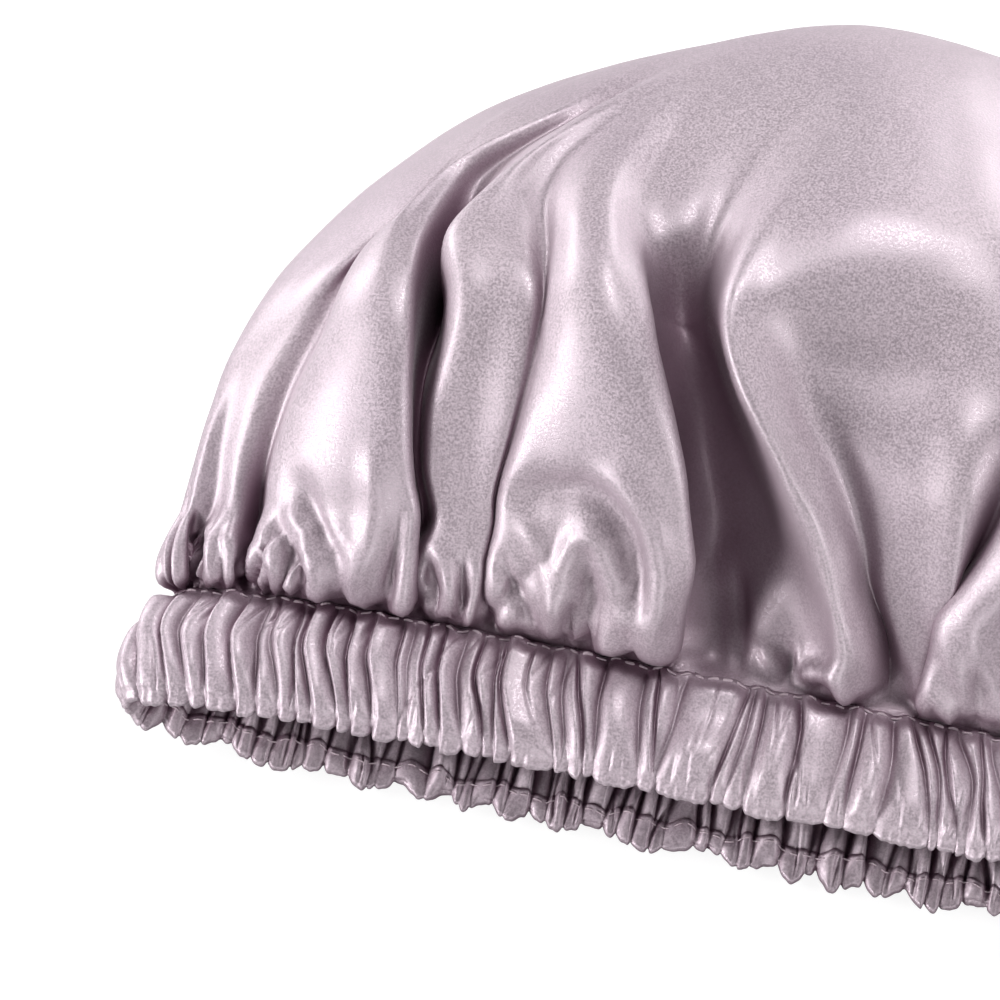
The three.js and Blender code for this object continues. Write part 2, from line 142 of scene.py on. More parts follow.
# The camera, in the same millimetres
AZIMUTH, ELEVATION, LENS, SENSOR = math.radians(13), math.radians(60), 150.0, 36.0
EYE = np.array([32.263, -354.456, 755.391])
BACK = np.array([math.sin(AZIMUTH) * math.cos(ELEVATION), -math.cos(AZIMUTH) * math.cos(ELEVATION),
                 math.sin(ELEVATION)])
RIGHT = np.array([math.cos(AZIMUTH), math.sin(AZIMUTH), 0.0])
UP = np.cross(BACK, RIGHT)
PICTURE = 1000  # pixels
MIDDLE = PICTURE / 2
FOCAL = PICTURE * LENS / SENSOR


def project(points):
    """Places in the view, in pixels."""
    d = points - EYE
    depth = -(d @ BACK)
    return np.stack([MIDDLE + FOCAL * (d @ RIGHT) / depth, MIDDLE - FOCAL * (d @ UP) / depth], -1)


# The search for a place starts on this grid and then takes steps no longer than these
SEARCH_ROWS, SEARCH_ANGLES = np.linspace(-0.14, 0.97, 130), np.linspace(0.02, np.pi - 0.02, 170)
SEARCH_STEPS, ROW_STEP, ANGLE_STEP = 12, 0.02, 0.05


def invert(u, v, height, under=False):
    """Rows and angles of the smooth bonnet whose points, raised by height, show at u, v."""
    u, v, height = (np.asarray(x, float) for x in (u, v, height))
    angles = -SEARCH_ANGLES[::-1] if under else SEARCH_ANGLES
    tt, aa = np.meshgrid(SEARCH_ROWS, angles, indexing="ij")
    tt, aa = tt.ravel(), aa.ravel()
    p, n = base_point(distance_of(tt), aa), base_normal(distance_of(tt), aa)
    facing = np.sum(n * (EYE - p), -1) > 0
    t, a = np.zeros(len(u)), np.zeros(len(u))
    for i in range(len(u)):
        gap = np.sum((project(p + n * height[i]) - [u[i], v[i]]) ** 2, -1)
        if not under:
            gap = gap + np.where(facing, 0, 1e5)
        best = np.argmin(gap)
        t[i], a[i] = tt[best], aa[best]
    aim = np.stack([u, v], -1)

    def shown(t, a):
        d = distance_of(t)
        return project(base_point(d, a) + base_normal(d, a) * height[:, None])

    for _ in range(SEARCH_STEPS):
        here = shown(t, a)
        miss = here - aim
        e = 1e-4
        jt, ja = (shown(t + e, a) - here) / e, (shown(t, a + e) - here) / e
        det = jt[:, 0] * ja[:, 1] - jt[:, 1] * ja[:, 0]
        det = np.where(np.abs(det) < 1, np.copysign(1, det), det)
        dt = -(miss[:, 0] * ja[:, 1] - miss[:, 1] * ja[:, 0]) / det
        da = -(jt[:, 0] * miss[:, 1] - jt[:, 1] * miss[:, 0]) / det
        t = np.clip(t + np.clip(dt, -ROW_STEP, ROW_STEP), -0.16, 0.98)
        low, high = (-np.pi + 0.005, -0.005) if under else (0.005, np.pi - 0.005)
        a = np.clip(a + np.clip(da, -ANGLE_STEP, ANGLE_STEP), low, high)
    return t, a


# Fold lines of the crown, left to right: places in the view and height over the smooth crown
FOLDS = [
    ("left", [(186, 590, -1), (215, 510, 0), (225, 430, 0), (255, 350, 0), (320, 250, 0), (420, 155, 0),
        (520, 97, -1)]),
    ("crest1", [(232, 590, 1), (232, 530, 1), (243, 460, -1), (262, 390, -1.5), (300, 320, -1),
        (340, 265, -0.5), (400, 205, -0.5)]),
    ("gully1", [(256, 590, -6), (254, 530, -6), (268, 460, -5), (288, 400, -4.5), (322, 335, -3.5),
        (343, 275, -2.5), (400, 215, -1)]),
    ("edge1", [(264, 590, 0), (262, 530, 0), (272, 475, 1), (295, 405, 2), (328, 330, 2.5), (347, 275, 2),
        (365, 235, 1), (410, 185, 0), (480, 140, 0), (560, 97, 0)]),
    ("crest2", [(300, 600, 3), (318, 540, 4), (335, 450, 6), (350, 390, 6), (368, 320, 5), (380, 250, 3.5),
        (412, 180, 1.5), (480, 128, 0.6), (560, 90, 0.2)]),
    ("flank2", [(385, 605, 3), (392, 540, 4), (395, 470, 5.5), (396, 400, 5.5), (394, 330, 4.5),
        (395, 270, 3), (410, 205, 1), (470, 143, 0.3), (545, 98, 0)]),
    ("brink2", [(410, 612, 1), (411, 560, 2), (412, 490, 3), (411, 420, 3), (410, 340, 2.5),
        (410, 280, 1.5), (422, 222, -0.5), (458, 168, -1), (520, 116, -1)]),
    ("gully2", [(413, 615, -3), (414, 560, -3.5), (415, 480, -4.5), (416, 400, -9), (418, 340, -12),
        (421, 290, -12), (430, 236, -7), (478, 166, -3.4), (550, 112, -2), (635, 72, -0.4)]),
    ("foot3", [(419, 605, -2), (419, 540, -2.5), (419, 470, -4.5), (421, 405, -10), (438, 340, -17),
        (450, 290, -17), (438, 238, -9), (495, 162, -3.2), (562, 112, -1.6)]),
    ("edge3", [(434, 618, 1), (431, 545, 1), (428, 480, 0.5), (429, 408, -1), (452, 345, 1), (461, 285, 3),
        (442, 228, 3), (502, 165, 2.5), (568, 115, 1.8), (640, 72, 0.8)]),
    ("crest3", [(465, 625, 1), (465, 560, 1), (468, 480, -1), (480, 400, -1), (495, 320, 1),
        (492, 250, 2.5), (480, 205, 3), (524, 148, 3), (588, 106, 2), (650, 77, 1)]),
    ("ridge3", [(480, 600, -1), (476, 560, 0), (490, 500, -1), (512, 420, -0.5), (528, 340, 0.3),
        (533, 280, 1), (518, 230, 0.8), (516, 185, 0.8), (548, 142, 1.6), (604, 106, 1.2)]),
    ("gully3", [(503, 620, -3), (484, 560, -3), (488, 510, -2.5), (512, 440, -1.8), (532, 370, -1.2),
        (545, 300, -1.4), (545, 240, -2), (540, 192, -1.2), (562, 148, 0.4), (612, 108, 1)]),
    ("edge4", [(512, 630, 0), (494, 580, 1), (495, 520, 1), (520, 450, 1.6), (540, 380, 2), (550, 310, 2),
        (556, 240, 1.8), (558, 190, 1.8), (577, 150, 2), (622, 111, 1.2)]),
    ("crest4", [(530, 640, 1), (525, 560, 1), (545, 480, 2.4), (556, 420, 4.4), (566, 350, 5.8),
        (574, 280, 6.2), (578, 200, 5.2), (594, 150, 3.2), (636, 112, 1.4)]),
    ("flank4", [(590, 660, 2), (590, 580, 2), (600, 500, 4.4), (606, 430, 6.4), (610, 350, 7.8),
        (606, 260, 7), (607, 190, 4.8), (624, 140, 2.4)]),
    ("shoulder4", [(650, 640, 5), (660, 570, 6), (655, 500, 6), (648, 430, 6.6), (637, 350, 6.4),
        (627, 270, 4.4), (623, 210, 2.4), (634, 160, 1.4)]),
    ("brink4", [(674, 640, 2.5), (688, 580, 3.6), (687, 500, 4), (676, 430, 3.5), (657, 350, 2.5),
        (644, 275, 0.4), (638, 225, -0.3), (642, 175, 0.2), (655, 130, 0.4)]),
    ("gully4", [(672, 660, -8), (682, 600, -10), (680, 520, -12), (675, 450, -12), (660, 370, -11),
        (650, 305, -9), (651, 268, -5), (653, 225, -1.6), (662, 178, -0.2), (678, 132, 0.2)]),
    ("bed4", [(715, 680, -10), (720, 620, -13), (716, 540, -17), (706, 460, -18), (692, 380, -18),
        (683, 315, -16), (681, 275, -11), (684, 238, -2.5), (694, 190, -0.5), (712, 140, -0.3)]),
    ("rise5", [(768, 700, -7), (775, 640, -9), (768, 560, -12), (750, 480, -15), (724, 420, -17),
        (706, 350, -16), (700, 300, -12), (704, 255, -6), (716, 212, -2.5), (752, 155, -1.5),
        (810, 100, -1)]),
    ("foot5", [(795, 690, -8), (812, 640, -6), (806, 570, -6), (775, 490, -6), (749, 430, -6.5),
        (727, 380, -7.5), (711, 320, -6.5), (716, 270, -3.5), (734, 220, -0.6), (771, 162, 0),
        (822, 112, 0)]),
    ("crest5", [(822, 695, 2), (846, 640, 3.8), (826, 560, 4.2), (788, 475, 4.4), (762, 425, 4.4),
        (738, 383, 4.4), (724, 325, 4.2), (736, 275, 4), (758, 226, 3.6), (794, 176, 2.6),
        (842, 128, 1.2)]),
    ("flank5", [(850, 690, 0), (862, 640, 0), (850, 570, 0.5), (818, 490, 0.5), (792, 430, 0.5),
        (765, 375, 0.5), (750, 325, 1), (768, 272, 3), (792, 222, 4), (828, 172, 3), (866, 128, 1.4)]),
    ("gully5", [(885, 700, -8), (888, 620, -6.5), (868, 560, -5.5), (852, 490, -5.5), (830, 440, -5),
        (812, 395, -6), (800, 350, -6), (806, 320, -3.6), (820, 275, 2.8), (846, 222, 5), (874, 170, 3.2),
        (896, 130, 1.4)]),
    ("rise6", [(900, 680, -6), (905, 640, -3), (887, 560, -3), (877, 490, -3), (864, 440, -3),
        (855, 400, -6.5), (855, 365, -8.5), (862, 325, -5), (876, 282, 2), (896, 228, 5), (910, 175, 3.2),
        (920, 135, 1.4)]),
    ("panel6", [(915, 640, -3), (925, 560, -1), (920, 490, 0.5), (920, 430, -2.5), (922, 385, -7.5),
        (930, 345, -6.5), (940, 300, 0.6), (950, 240, 4.4), (950, 185, 3), (946, 140, 1.3)]),
    ("panel7", [(955, 590, 0), (965, 510, 3), (966, 445, 1.5), (972, 395, -5), (980, 355, -4.5),
        (990, 310, 0.4), (1000, 250, 3), (990, 190, 2.4), (976, 140, 1.2)]),
    ("gully6", [(900, 700, -9), (925, 630, -7), (960, 580, -5), (990, 530, -4), (1010, 480, -3),
        (1030, 400, -2), (1040, 300, -1)]),
    ("edge7", [(915, 715, 1), (935, 640, 2), (968, 590, 2), (1000, 540, 2), (1020, 490, 1),
        (1045, 400, 1)]),
    ("crest7", [(950, 750, 1), (965, 680, 3), (990, 620, 5), (1020, 560, 5), (1045, 500, 4), (1065, 400, 3),
        (1070, 300, 2)]),
]
# At the hidden left end and beyond the view's right edge the folds are given as in the CAD
# source: shares of the half width, and heights in mm, at the rows of TABLE_ROWS
TABLE_ROWS = [0, 0.07, 0.14, 0.26, 0.42, 0.65]
LEFT_FOLDS = [
    ([-0.997, -0.997, -0.996, -0.993, -0.99, -0.98], [4.5, 2, 0.5, 0, 0, 0]),
    ([-0.975, -0.975, -0.97, -0.965, -0.955, -0.93], [3, 3.5, 1.5, 0, 0, 0]),
]
RIGHT_FOLDS = [
    ([0.42, 0.44, 0.46, 0.45, 0.41, 0.34], [-7, -10, -8, -4, -1, 0]),
    ([0.47, 0.49, 0.5, 0.48, 0.44, 0.37], [1, 1, 1, 1, 0, 0]),
    ([0.53, 0.54, 0.54, 0.52, 0.48, 0.41], [3, 5, 5, 3, 1, 0]),
    ([0.59, 0.6, 0.59, 0.57, 0.52, 0.44], [1, 3, 3, 1, 0, 0]),
    ([0.64, 0.63, 0.62, 0.6, 0.55, 0.47], [-6, -8, -6, -2, 0, 0]),
    ([0.68, 0.67, 0.66, 0.64, 0.59, 0.51], [1, 2, 1, 0, 0, 0]),
    ([0.73, 0.72, 0.71, 0.69, 0.64, 0.55], [3, 5, 4, 2, 0, 0]),
    ([0.81, 0.81, 0.8, 0.78, 0.73, 0.64], [-5, -5, -3, -1, 0, 0]),
    ([0.88, 0.89, 0.88, 0.86, 0.82, 0.74], [1, 3, 2, 1, 0, 0]),
    ([0.95, 0.95, 0.94, 0.93, 0.9, 0.83], [0, 0, 0, 0, 0, 0]),
    ([0.99, 0.99, 0.99, 0.98, 0.97, 0.95], [0, 0, 0, 0, 0, 0]),
]
# Small creases: points in the view, height (below 0 a crease, above 0 a ridge), width in mm
CREASE_GAIN = 1.4  # mm for a height of 1
PX_PER_MM = 5.0  # in the view
CREASE_OPEN_BELOW = 560  # a crease that ends above this pixel row runs out at that end too
CREASES = [
    ([(197, 505), (197, 560), (200, 604)], -1.3, 1.2),
    ([(212, 520), (210, 560), (210, 604)], 0.7, 1.6),
    ([(222, 540), (221, 604)], -0.9, 0.9),
    ([(229, 520), (230, 604)], 1.1, 1.5),
    ([(238, 555), (239, 604)], -1.2, 1.0),
    ([(250, 530), (250, 604)], 0.7, 1.2),
    ([(262, 520), (270, 560), (290, 596)], 0.8, 1.3),
    ([(275, 515), (285, 545), (300, 575), (303, 606)], -1.4, 1.2),
    ([(280, 495), (305, 530), (310, 560), (310, 606)], 0.9, 1.5),
    ([(290, 465), (315, 520), (335, 560), (340, 608)], -1.3, 2.2),
    ([(318, 500), (350, 560), (356, 608)], 0.6, 1.5),
    ([(372, 440), (375, 500), (368, 550), (350, 596)], 1.1, 1.8),
    ([(404, 500), (392, 570), (384, 612)], -1.1, 1.0),
    ([(413, 480), (407, 550), (404, 616)], 0.8, 1.8),
    ([(425, 540), (445, 560), (452, 600), (450, 626)], 1.0, 1.2),
    ([(426, 556), (432, 590), (432, 612)], -1.6, 1.2),
    ([(462, 555), (463, 600), (458, 628)], -1.2, 1.1),
    ([(478, 556), (475, 590), (466, 622)], 0.9, 1.2),
    ([(497, 520), (515, 500), (545, 492), (580, 492), (610, 508), (628, 535), (634, 570), (634, 610),
      (625, 648)], -2.0, 3.2),
    ([(515, 520), (530, 535), (545, 565), (553, 610)], 1.1, 1.6),
    ([(497, 545), (505, 570), (520, 600), (540, 645)], -1.2, 1.5),
    ([(553, 645), (560, 600), (565, 560), (575, 540), (590, 533), (603, 545), (612, 570), (622, 600),
      (625, 625)], 1.5, 2.1),
    ([(585, 560), (590, 600), (585, 640), (582, 660)], -1.8, 1.6),
    ([(572, 600), (566, 650)], -1.0, 1.0),
    ([(585, 470), (615, 480), (640, 510), (655, 545), (658, 580), (655, 610), (645, 640),
      (620, 668)], 1.6, 3.0),
    ([(738, 560), (741, 620), (738, 694)], -1.1, 1.1),
    ([(765, 640), (773, 670), (770, 696)], 1.2, 1.3),
    ([(790, 640), (788, 700)], -1.2, 1.1),
    ([(795, 690), (812, 672), (835, 674), (846, 700)], 1.4, 1.5),
    ([(805, 705), (818, 690), (832, 705)], -1.0, 1.2),
    ([(925, 700), (940, 735), (962, 790)], -1.5, 1.4),
    ([(980, 660), (975, 720), (972, 790)], -1.4, 1.6),
    ([(952, 690), (945, 730), (955, 775)], 1.0, 1.6),
]

ROUND = 75.0  # mm across for one radian, only to space the columns evenly
COLUMN_WIDTH = 0.5
UNDER_COLUMNS = 240
ROWS = 200
OVERHANG = 4.5  # how far a fold may hang over the next one near the band
LINE_GAP = 1.2  # least distance between two fold lines
rows_t = np.linspace(0, 1, ROWS + 1)[:-1] ** 1.25
rows_d = distance_of(rows_t)


def blur_rows(values, width):
    reach = int(3 * width) + 1
    kernel = np.exp(-0.5 * (np.arange(-reach, reach + 1) / width) ** 2)
    kernel /= kernel.sum()
    padded = np.concatenate([np.repeat(values[:1], reach, 0), values, np.repeat(values[-1:], reach, 0)])
    return np.stack([np.convolve(padded[:, k], kernel, "valid") for k in range(values.shape[1])], 1)


def hand_track(across, rise):
    """Angle and height at every row of a fold line that is given in shares."""
    share = np.interp(rows_t, TABLE_ROWS, across)
    angle = np.arccos(np.sign(share) * np.abs(share) ** (TOP_ROUND / 2))
    return angle, np.interp(rows_t, TABLE_ROWS, rise)


def fold_tracks():
    """Angle and height of every fold line at every row."""
    flat = np.array([p for _, points in FOLDS for p in points], float)
    t, a = invert(flat[:, 0], flat[:, 1], flat[:, 2])
    tracks = [hand_track(*fold) for fold in LEFT_FOLDS]
    start = 0
    for _, places in FOLDS:
        part = slice(start, start + len(places))
        start += len(places)
        order = np.argsort(t[part])
        tt, aa, hh = t[part][order], a[part][order], flat[part, 2][order]
        fade = 1 - smooth_step((rows_t - tt[-1]) / 0.2)
        tracks.append((np.interp(rows_t, tt, aa), np.interp(rows_t, tt, hh) * fade))
    tracks += [hand_track(*fold) for fold in RIGHT_FOLDS]
    angles, heights = (np.stack(track, 1) for track in zip(*tracks))
    # Near the band a fold may hang over its neighbour; further up the lines keep their order
    freedom = OVERHANG * (1 - smooth_step((rows_t - 0.12) / 0.2))
    for j in range(len(rows_t)):
        limit = angles[j, 0]
        for k in range(1, angles.shape[1]):
            limit = min(limit - LINE_GAP / ROUND, angles[j, k] + freedom[j] / ROUND)
            angles[j, k] = min(angles[j, k], limit + freedom[j] / ROUND)
            limit = max(limit, angles[j, k]) if angles[j, k] > limit else angles[j, k]
    angles, heights = blur_rows(angles, 3), blur_rows(heights, 4)
    # Where the lines run together near the top, each takes its neighbours' height
    for j in np.flatnonzero(rows_t > 0.4):
        reach = 0.01 + 0.08 * smooth_step((rows_t[j] - 0.45) / 0.35)
        near = np.exp(-0.5 * ((angles[j][:, None] - angles[j]) / reach) ** 2) * np.abs(np.gradient(angles[j]))
        heights[j] = mix(heights[j], near @ heights[j] / near.sum(1), smooth_step((rows_t[j] - 0.4) / 0.12))
    ramp = 1 - np.exp(-(rows_d - CROWN_START) / 1.7)
    return angles, heights * ramp[:, None]


def curve_through(xs, ys, counts):
    """A smooth curve through the points of each row, with counts steps between two of them."""
    p = np.stack([xs, ys], -1)
    first = 2 * p[:, :1] - p[:, 1:2]
    last = 2 * p[:, -1:] - p[:, -2:-1]
    p = np.concatenate([first, p, last], 1)
    parts = []
    for k in range(len(counts)):
        p0, p1, p2, p3 = (p[:, k + i] for i in range(4))
        k1 = np.maximum(np.linalg.norm(p1 - p0, axis=-1), 0.05) ** 0.5
        k2 = k1 + np.maximum(np.linalg.norm(p2 - p1, axis=-1), 0.05) ** 0.5
        k3 = k2 + np.maximum(np.linalg.norm(p3 - p2, axis=-1), 0.05) ** 0.5
        share = np.arange(counts[k]) / counts[k]
        x = (k1[:, None] + (k2 - k1)[:, None] * share)[..., None]
        k1, k2, k3 = (v[:, None, None] for v in (k1, k2, k3))
        q0, q1, q2, q3 = (q[:, None] for q in (p0, p1, p2, p3))
        a1 = (k1 - x) / k1 * q0 + x / k1 * q1
        a2 = (k2 - x) / (k2 - k1) * q1 + (x - k1) / (k2 - k1) * q2
        a3 = (k3 - x) / (k3 - k2) * q2 + (x - k2) / (k3 - k2) * q3
        b1 = (k2 - x) / k2 * a1 + x / k2 * a2
        b2 = (k3 - x) / (k3 - k1) * a2 + (x - k1) / (k3 - k1) * a3
        parts.append((k2 - x) / (k2 - k1) * b1 + (x - k1) / (k2 - k1) * b2)
    return np.concatenate(parts, 1)


def grid_normals(points):
    """Normals of a grid whose columns close round the bonnet."""
    around = np.roll(points, -1, 1) - np.roll(points, 1, 1)
    along = np.concatenate([points[1:2] - points[:1], points[2:] - points[:-2], points[-1:] - points[-2:-1]])
    normal = np.cross(along, around)
    length = np.linalg.norm(normal, axis=-1, keepdims=True)
    return normal / np.maximum(length, 1e-9)


def outward(normals, reference):
    return normals * np.sign(np.mean(np.sum(normals * reference, -1)))


# The crown sags at the upper left and stands up at the right, in mm by place across the view
SAG_PLACES = [200, 300, 340, 400, 450, 500, 600, 700, 740, 780, 820, 860, 900, 940, 1000]
SAG_MM = [0, -1.2, -2.2, -2.3, -1.8, -1.8, -3.0, -3.3, -2.5, -1.3, -0.1, 0.7, 0.9, 0.7, 0.0]
sag_fine = np.arange(100, 1101)
sag_curve = blur_rows(np.interp(sag_fine, SAG_PLACES, SAG_MM)[:, None], 25)[:, 0]


def sag(points, theta):
    u = project(points)[..., 0]
    share = smooth_step((points[..., 1] - 45) / 60) * smooth_step(np.sin(theta) / 0.5)
    return np.interp(u, sag_fine, sag_curve) * share


def crown_grid():
    """Distances, angles, smooth points, their normals and the points of the folded crown."""
    angles, heights = fold_tracks()
    left = np.full((len(rows_t), 1), np.pi)
    zero = np.zeros((len(rows_t), 1))
    angles = np.concatenate([left, angles, zero], 1)
    heights = np.concatenate([zero, heights, zero], 1)
    spacing = np.mean(np.abs(np.diff(angles[20:120], axis=1)), 0) * ROUND
    counts = np.maximum(6, np.round(spacing / COLUMN_WIDTH)).astype(int)
    top = curve_through(-angles * ROUND, heights, counts)
    under = np.zeros((len(rows_t), UNDER_COLUMNS, 2))
    under[..., 0] = np.linspace(0, np.pi, UNDER_COLUMNS, endpoint=False) * ROUND
    both = np.concatenate([top, under], 1)
    theta, height = -both[..., 0] / ROUND, both[..., 1]
    d = rows_d[:, None] + 0 * theta
    smooth = base_point(d, theta)
    normal = base_normal(d, theta)
    height = height + SHELL_REACH + SILK + sag(smooth, theta)
    return d, theta, smooth, normal, smooth + normal * height[..., None]


# The small gathers at the stitch line, and the puff that they stand on, in mm
GATHER_STEP, GATHER_DEPTH, GATHER_LENGTH, GATHER_WIDTH = (2.6, 6.0), (1.0, 3.2), (4, 15), (0.7, 1.5)
GATHER_WIDENS_IN, PUFF_HEIGHT, PUFF_START, PUFF_LENGTH = 25, 2.2, 2.2, 9


def gathers(d, theta):
    """Small gathers all round the stitch line, each with its own place, length and depth."""
    local = np.random.default_rng(21)
    out = np.zeros_like(d)
    back = d - CROWN_START
    travel = -theta * ROUND
    place = -np.pi * ROUND
    while place < np.pi * ROUND - 3:
        place += local.uniform(*GATHER_STEP)
        depth = local.uniform(*GATHER_DEPTH)
        at_left = -np.pi * ROUND < place < -ROUND
        length = local.uniform(*GATHER_LENGTH) * (0.8 if at_left else 1.2)
        width = local.uniform(*GATHER_WIDTH) * (1 + back / GATHER_WIDENS_IN)
        drift = local.uniform(-0.12, 0.12) * back
        near = np.exp(-(((travel - place - drift) / width) ** 2))
        out -= depth * near * np.exp(-(back / length) ** 2) * smooth_step(back)
    return out + PUFF_HEIGHT * smooth_step(back / PUFF_START) * np.exp(-(back / PUFF_LENGTH) ** 2)


def crease_heights(points, normals, theta):
    """Height of the small creases at every point that faces the camera."""
    px = project(points)
    facing = smooth_step(np.sum(normals * (EYE - points), -1) / np.linalg.norm(EYE - points, axis=-1) / 0.25)
    facing = facing * (theta > 0)
    out = np.zeros(points.shape[:2])
    for line, height, width in CREASES:
        line = np.array(line, float)
        wide = width * PX_PER_MM
        lo, hi = line.min(0) - 3 * wide, line.max(0) + 3 * wide
        pick = np.all((px > lo) & (px < hi), -1) & (facing > 0)
        if not pick.any():
            continue
        q = px[pick]
        steps = np.linalg.norm(np.diff(line, axis=0), axis=1)
        run = np.concatenate([[0], np.cumsum(steps)])
        best, along = np.full(len(q), 1e9), np.zeros(len(q))
        for i in range(len(steps)):
            a, b = line[i], line[i + 1]
            share = np.clip(((q - a) @ (b - a)) / steps[i] ** 2, 0, 1)
            gap = np.linalg.norm(q - a - share[:, None] * (b - a), axis=1)
            closer = gap < best
            best = np.where(closer, gap, best)
            along = np.where(closer, run[i] + share * steps[i], along)
        total = run[-1]
        end = 0.35 * total
        taper = smooth_step(along / end + 0.15)
        if line[-1, 1] < CREASE_OPEN_BELOW:
            taper = taper * smooth_step((total - along) / end + 0.15)
        out[pick] += CREASE_GAIN * height * np.exp(-(best / wide) ** 2) * taper * facing[pick]
    return out


def soft_noise(points, scale, seed, octaves=2):
    """Smooth noise from a few seeded waves, from -1 to 1."""
    local = np.random.default_rng(seed)
    out = np.zeros(points.shape[:-1])
    for octave in range(octaves):
        for _ in range(5):
            direction = local.normal(size=3)
            direction /= np.linalg.norm(direction)
            wave = 2 * np.pi / (scale / 2 ** octave) * local.uniform(0.7, 1.3)
            out += np.sin(points @ direction * wave + local.uniform(0, 6.28)) / 5 / 2 ** octave
    return out


NOISE_RISE, NOISE_SCALE = 0.22, 22
d_grid, theta_grid, smooth_grid, smooth_normals, crown = crown_grid()
normals = outward(grid_normals(crown), smooth_normals)
crown = crown + normals * gathers(d_grid, theta_grid)[..., None]
normals = outward(grid_normals(crown), smooth_normals)
small = crease_heights(crown, normals, theta_grid)
small = small * smooth_step((d_grid - CROWN_START) / 1.5)
small += NOISE_RISE * soft_noise(crown, NOISE_SCALE, 5) * smooth_step((d_grid - CROWN_START) / 12)
crown = crown + normals * small[..., None]

# The seam allowance in the band, in front of the crown's first row
SEAM_ROWS = BAND_DEPTH + np.array([-2.1, -0.9, 0.3])
seam_theta = np.repeat(theta_grid[:1], len(SEAM_ROWS), 0)
seam_d = SEAM_ROWS[:, None] + 0 * seam_theta
seam_normals = base_normal(seam_d, seam_theta)
crown = np.concatenate([base_point(seam_d, seam_theta) + seam_normals * (SHELL_REACH + SILK), crown])
normals = outward(grid_normals(crown), np.concatenate([seam_normals, smooth_normals]))


def sheet_mesh(name, outer, inner, pole=None):
    """A thin closed sheet from two grids of points. With a pole, the last rows close on a point each."""
    rows, cols = outer.shape[:2]
    count = rows * cols
    points = [outer.reshape(-1, 3), inner.reshape(-1, 3)]
    i, j = np.meshgrid(np.arange(rows - 1), np.arange(cols), indexing="ij")
    k = (j + 1) % cols
    faces = np.stack([i * cols + j, (i + 1) * cols + j, (i + 1) * cols + k, i * cols + k], -1).reshape(-1, 4)
    quads = [faces, faces[:, ::-1] + count]
    column = np.arange(cols)
    after = (column + 1) % cols
    quads.append(np.stack([column, after, after + count, column + count], -1))
    last = (rows - 1) * cols
    triangles = np.zeros((0, 3), int)
    if pole is None:
        quads.append(np.stack([last + after, last + column, last + column + count, last + after + count], -1))
    else:
        points.append(np.array(pole, float).reshape(2, 3))
        a, b = np.full(cols, 2 * count), np.full(cols, 2 * count + 1)
        triangles = np.concatenate([np.stack([last + column, a, last + after], -1),
                                    np.stack([last + after + count, b, last + column + count], -1)])
    return solid(name, np.concatenate(points), np.concatenate(quads), triangles)


def link(made):
    bpy.context.scene.collection.objects.link(made)
    return made


def solid(name, points, quads, triangles):
    """A closed mesh from points in millimetres."""
    points = (points + SHIFT) * MM
    quads, triangles = np.asarray(quads, int), np.asarray(triangles, int)
    # The faces point outward when the volume is above zero
    volume = 0.0
    for corners in (quads[:, [0, 1, 2]], quads[:, [0, 2, 3]], triangles):
        if len(corners):
            a, b, c = (points[corners[:, n]] for n in range(3))
            volume += np.sum(a * np.cross(b, c)) / 6
    if volume < 0:
        quads, triangles = quads[:, ::-1], triangles[:, ::-1]
    mesh = bpy.data.meshes.new(name)
    loops = np.concatenate([quads.ravel(), triangles.ravel()])
    sizes = np.concatenate([np.full(len(quads), 4), np.full(len(triangles), 3)])
    mesh.vertices.add(len(points))
    mesh.vertices.foreach_set("co", points.astype(np.float32).ravel())
    mesh.loops.add(len(loops))
    mesh.loops.foreach_set("vertex_index", loops.astype(np.int32))
    mesh.polygons.add(len(sizes))
    mesh.polygons.foreach_set("loop_start", np.concatenate([[0], np.cumsum(sizes)[:-1]]).astype(np.int32))
    mesh.polygons.foreach_set("use_smooth", np.ones(len(sizes), bool))
    mesh.update(calc_edges=True)
    mesh.validate()
    return link(bpy.data.objects.new(name, mesh))


def press(points, floor):
    """Lift what lies under a height to it, as the table does."""
    points = points.copy()
    points[..., 2] = np.maximum(points[..., 2], floor)
    return points


def far_pole(outer, inner):
    """The points that close a sheet's two sides at the far end, at distances from the smooth crown."""
    return [(0, BONNET_LENGTH + outer, FAR_END_HEIGHT), (0, BONNET_LENGTH + inner, FAR_END_HEIGHT)]


crown_outer = press(crown, FLOOR_GAP)
crown_inner = press(crown - normals * SILK, FLOOR_GAP + SILK)
crown_piece = sheet_mesh("silk_crown", crown_outer, crown_inner, far_pole(SHELL_REACH + SILK, SHELL_REACH))

# The crown's lining, in mm: how far it may stand over the smooth crown, and its gap to the shell
LINING_LIMIT, LINING_GAP, LINING_POLE = 0.4, 0.5, -0.45
LINING_CELLS = 300


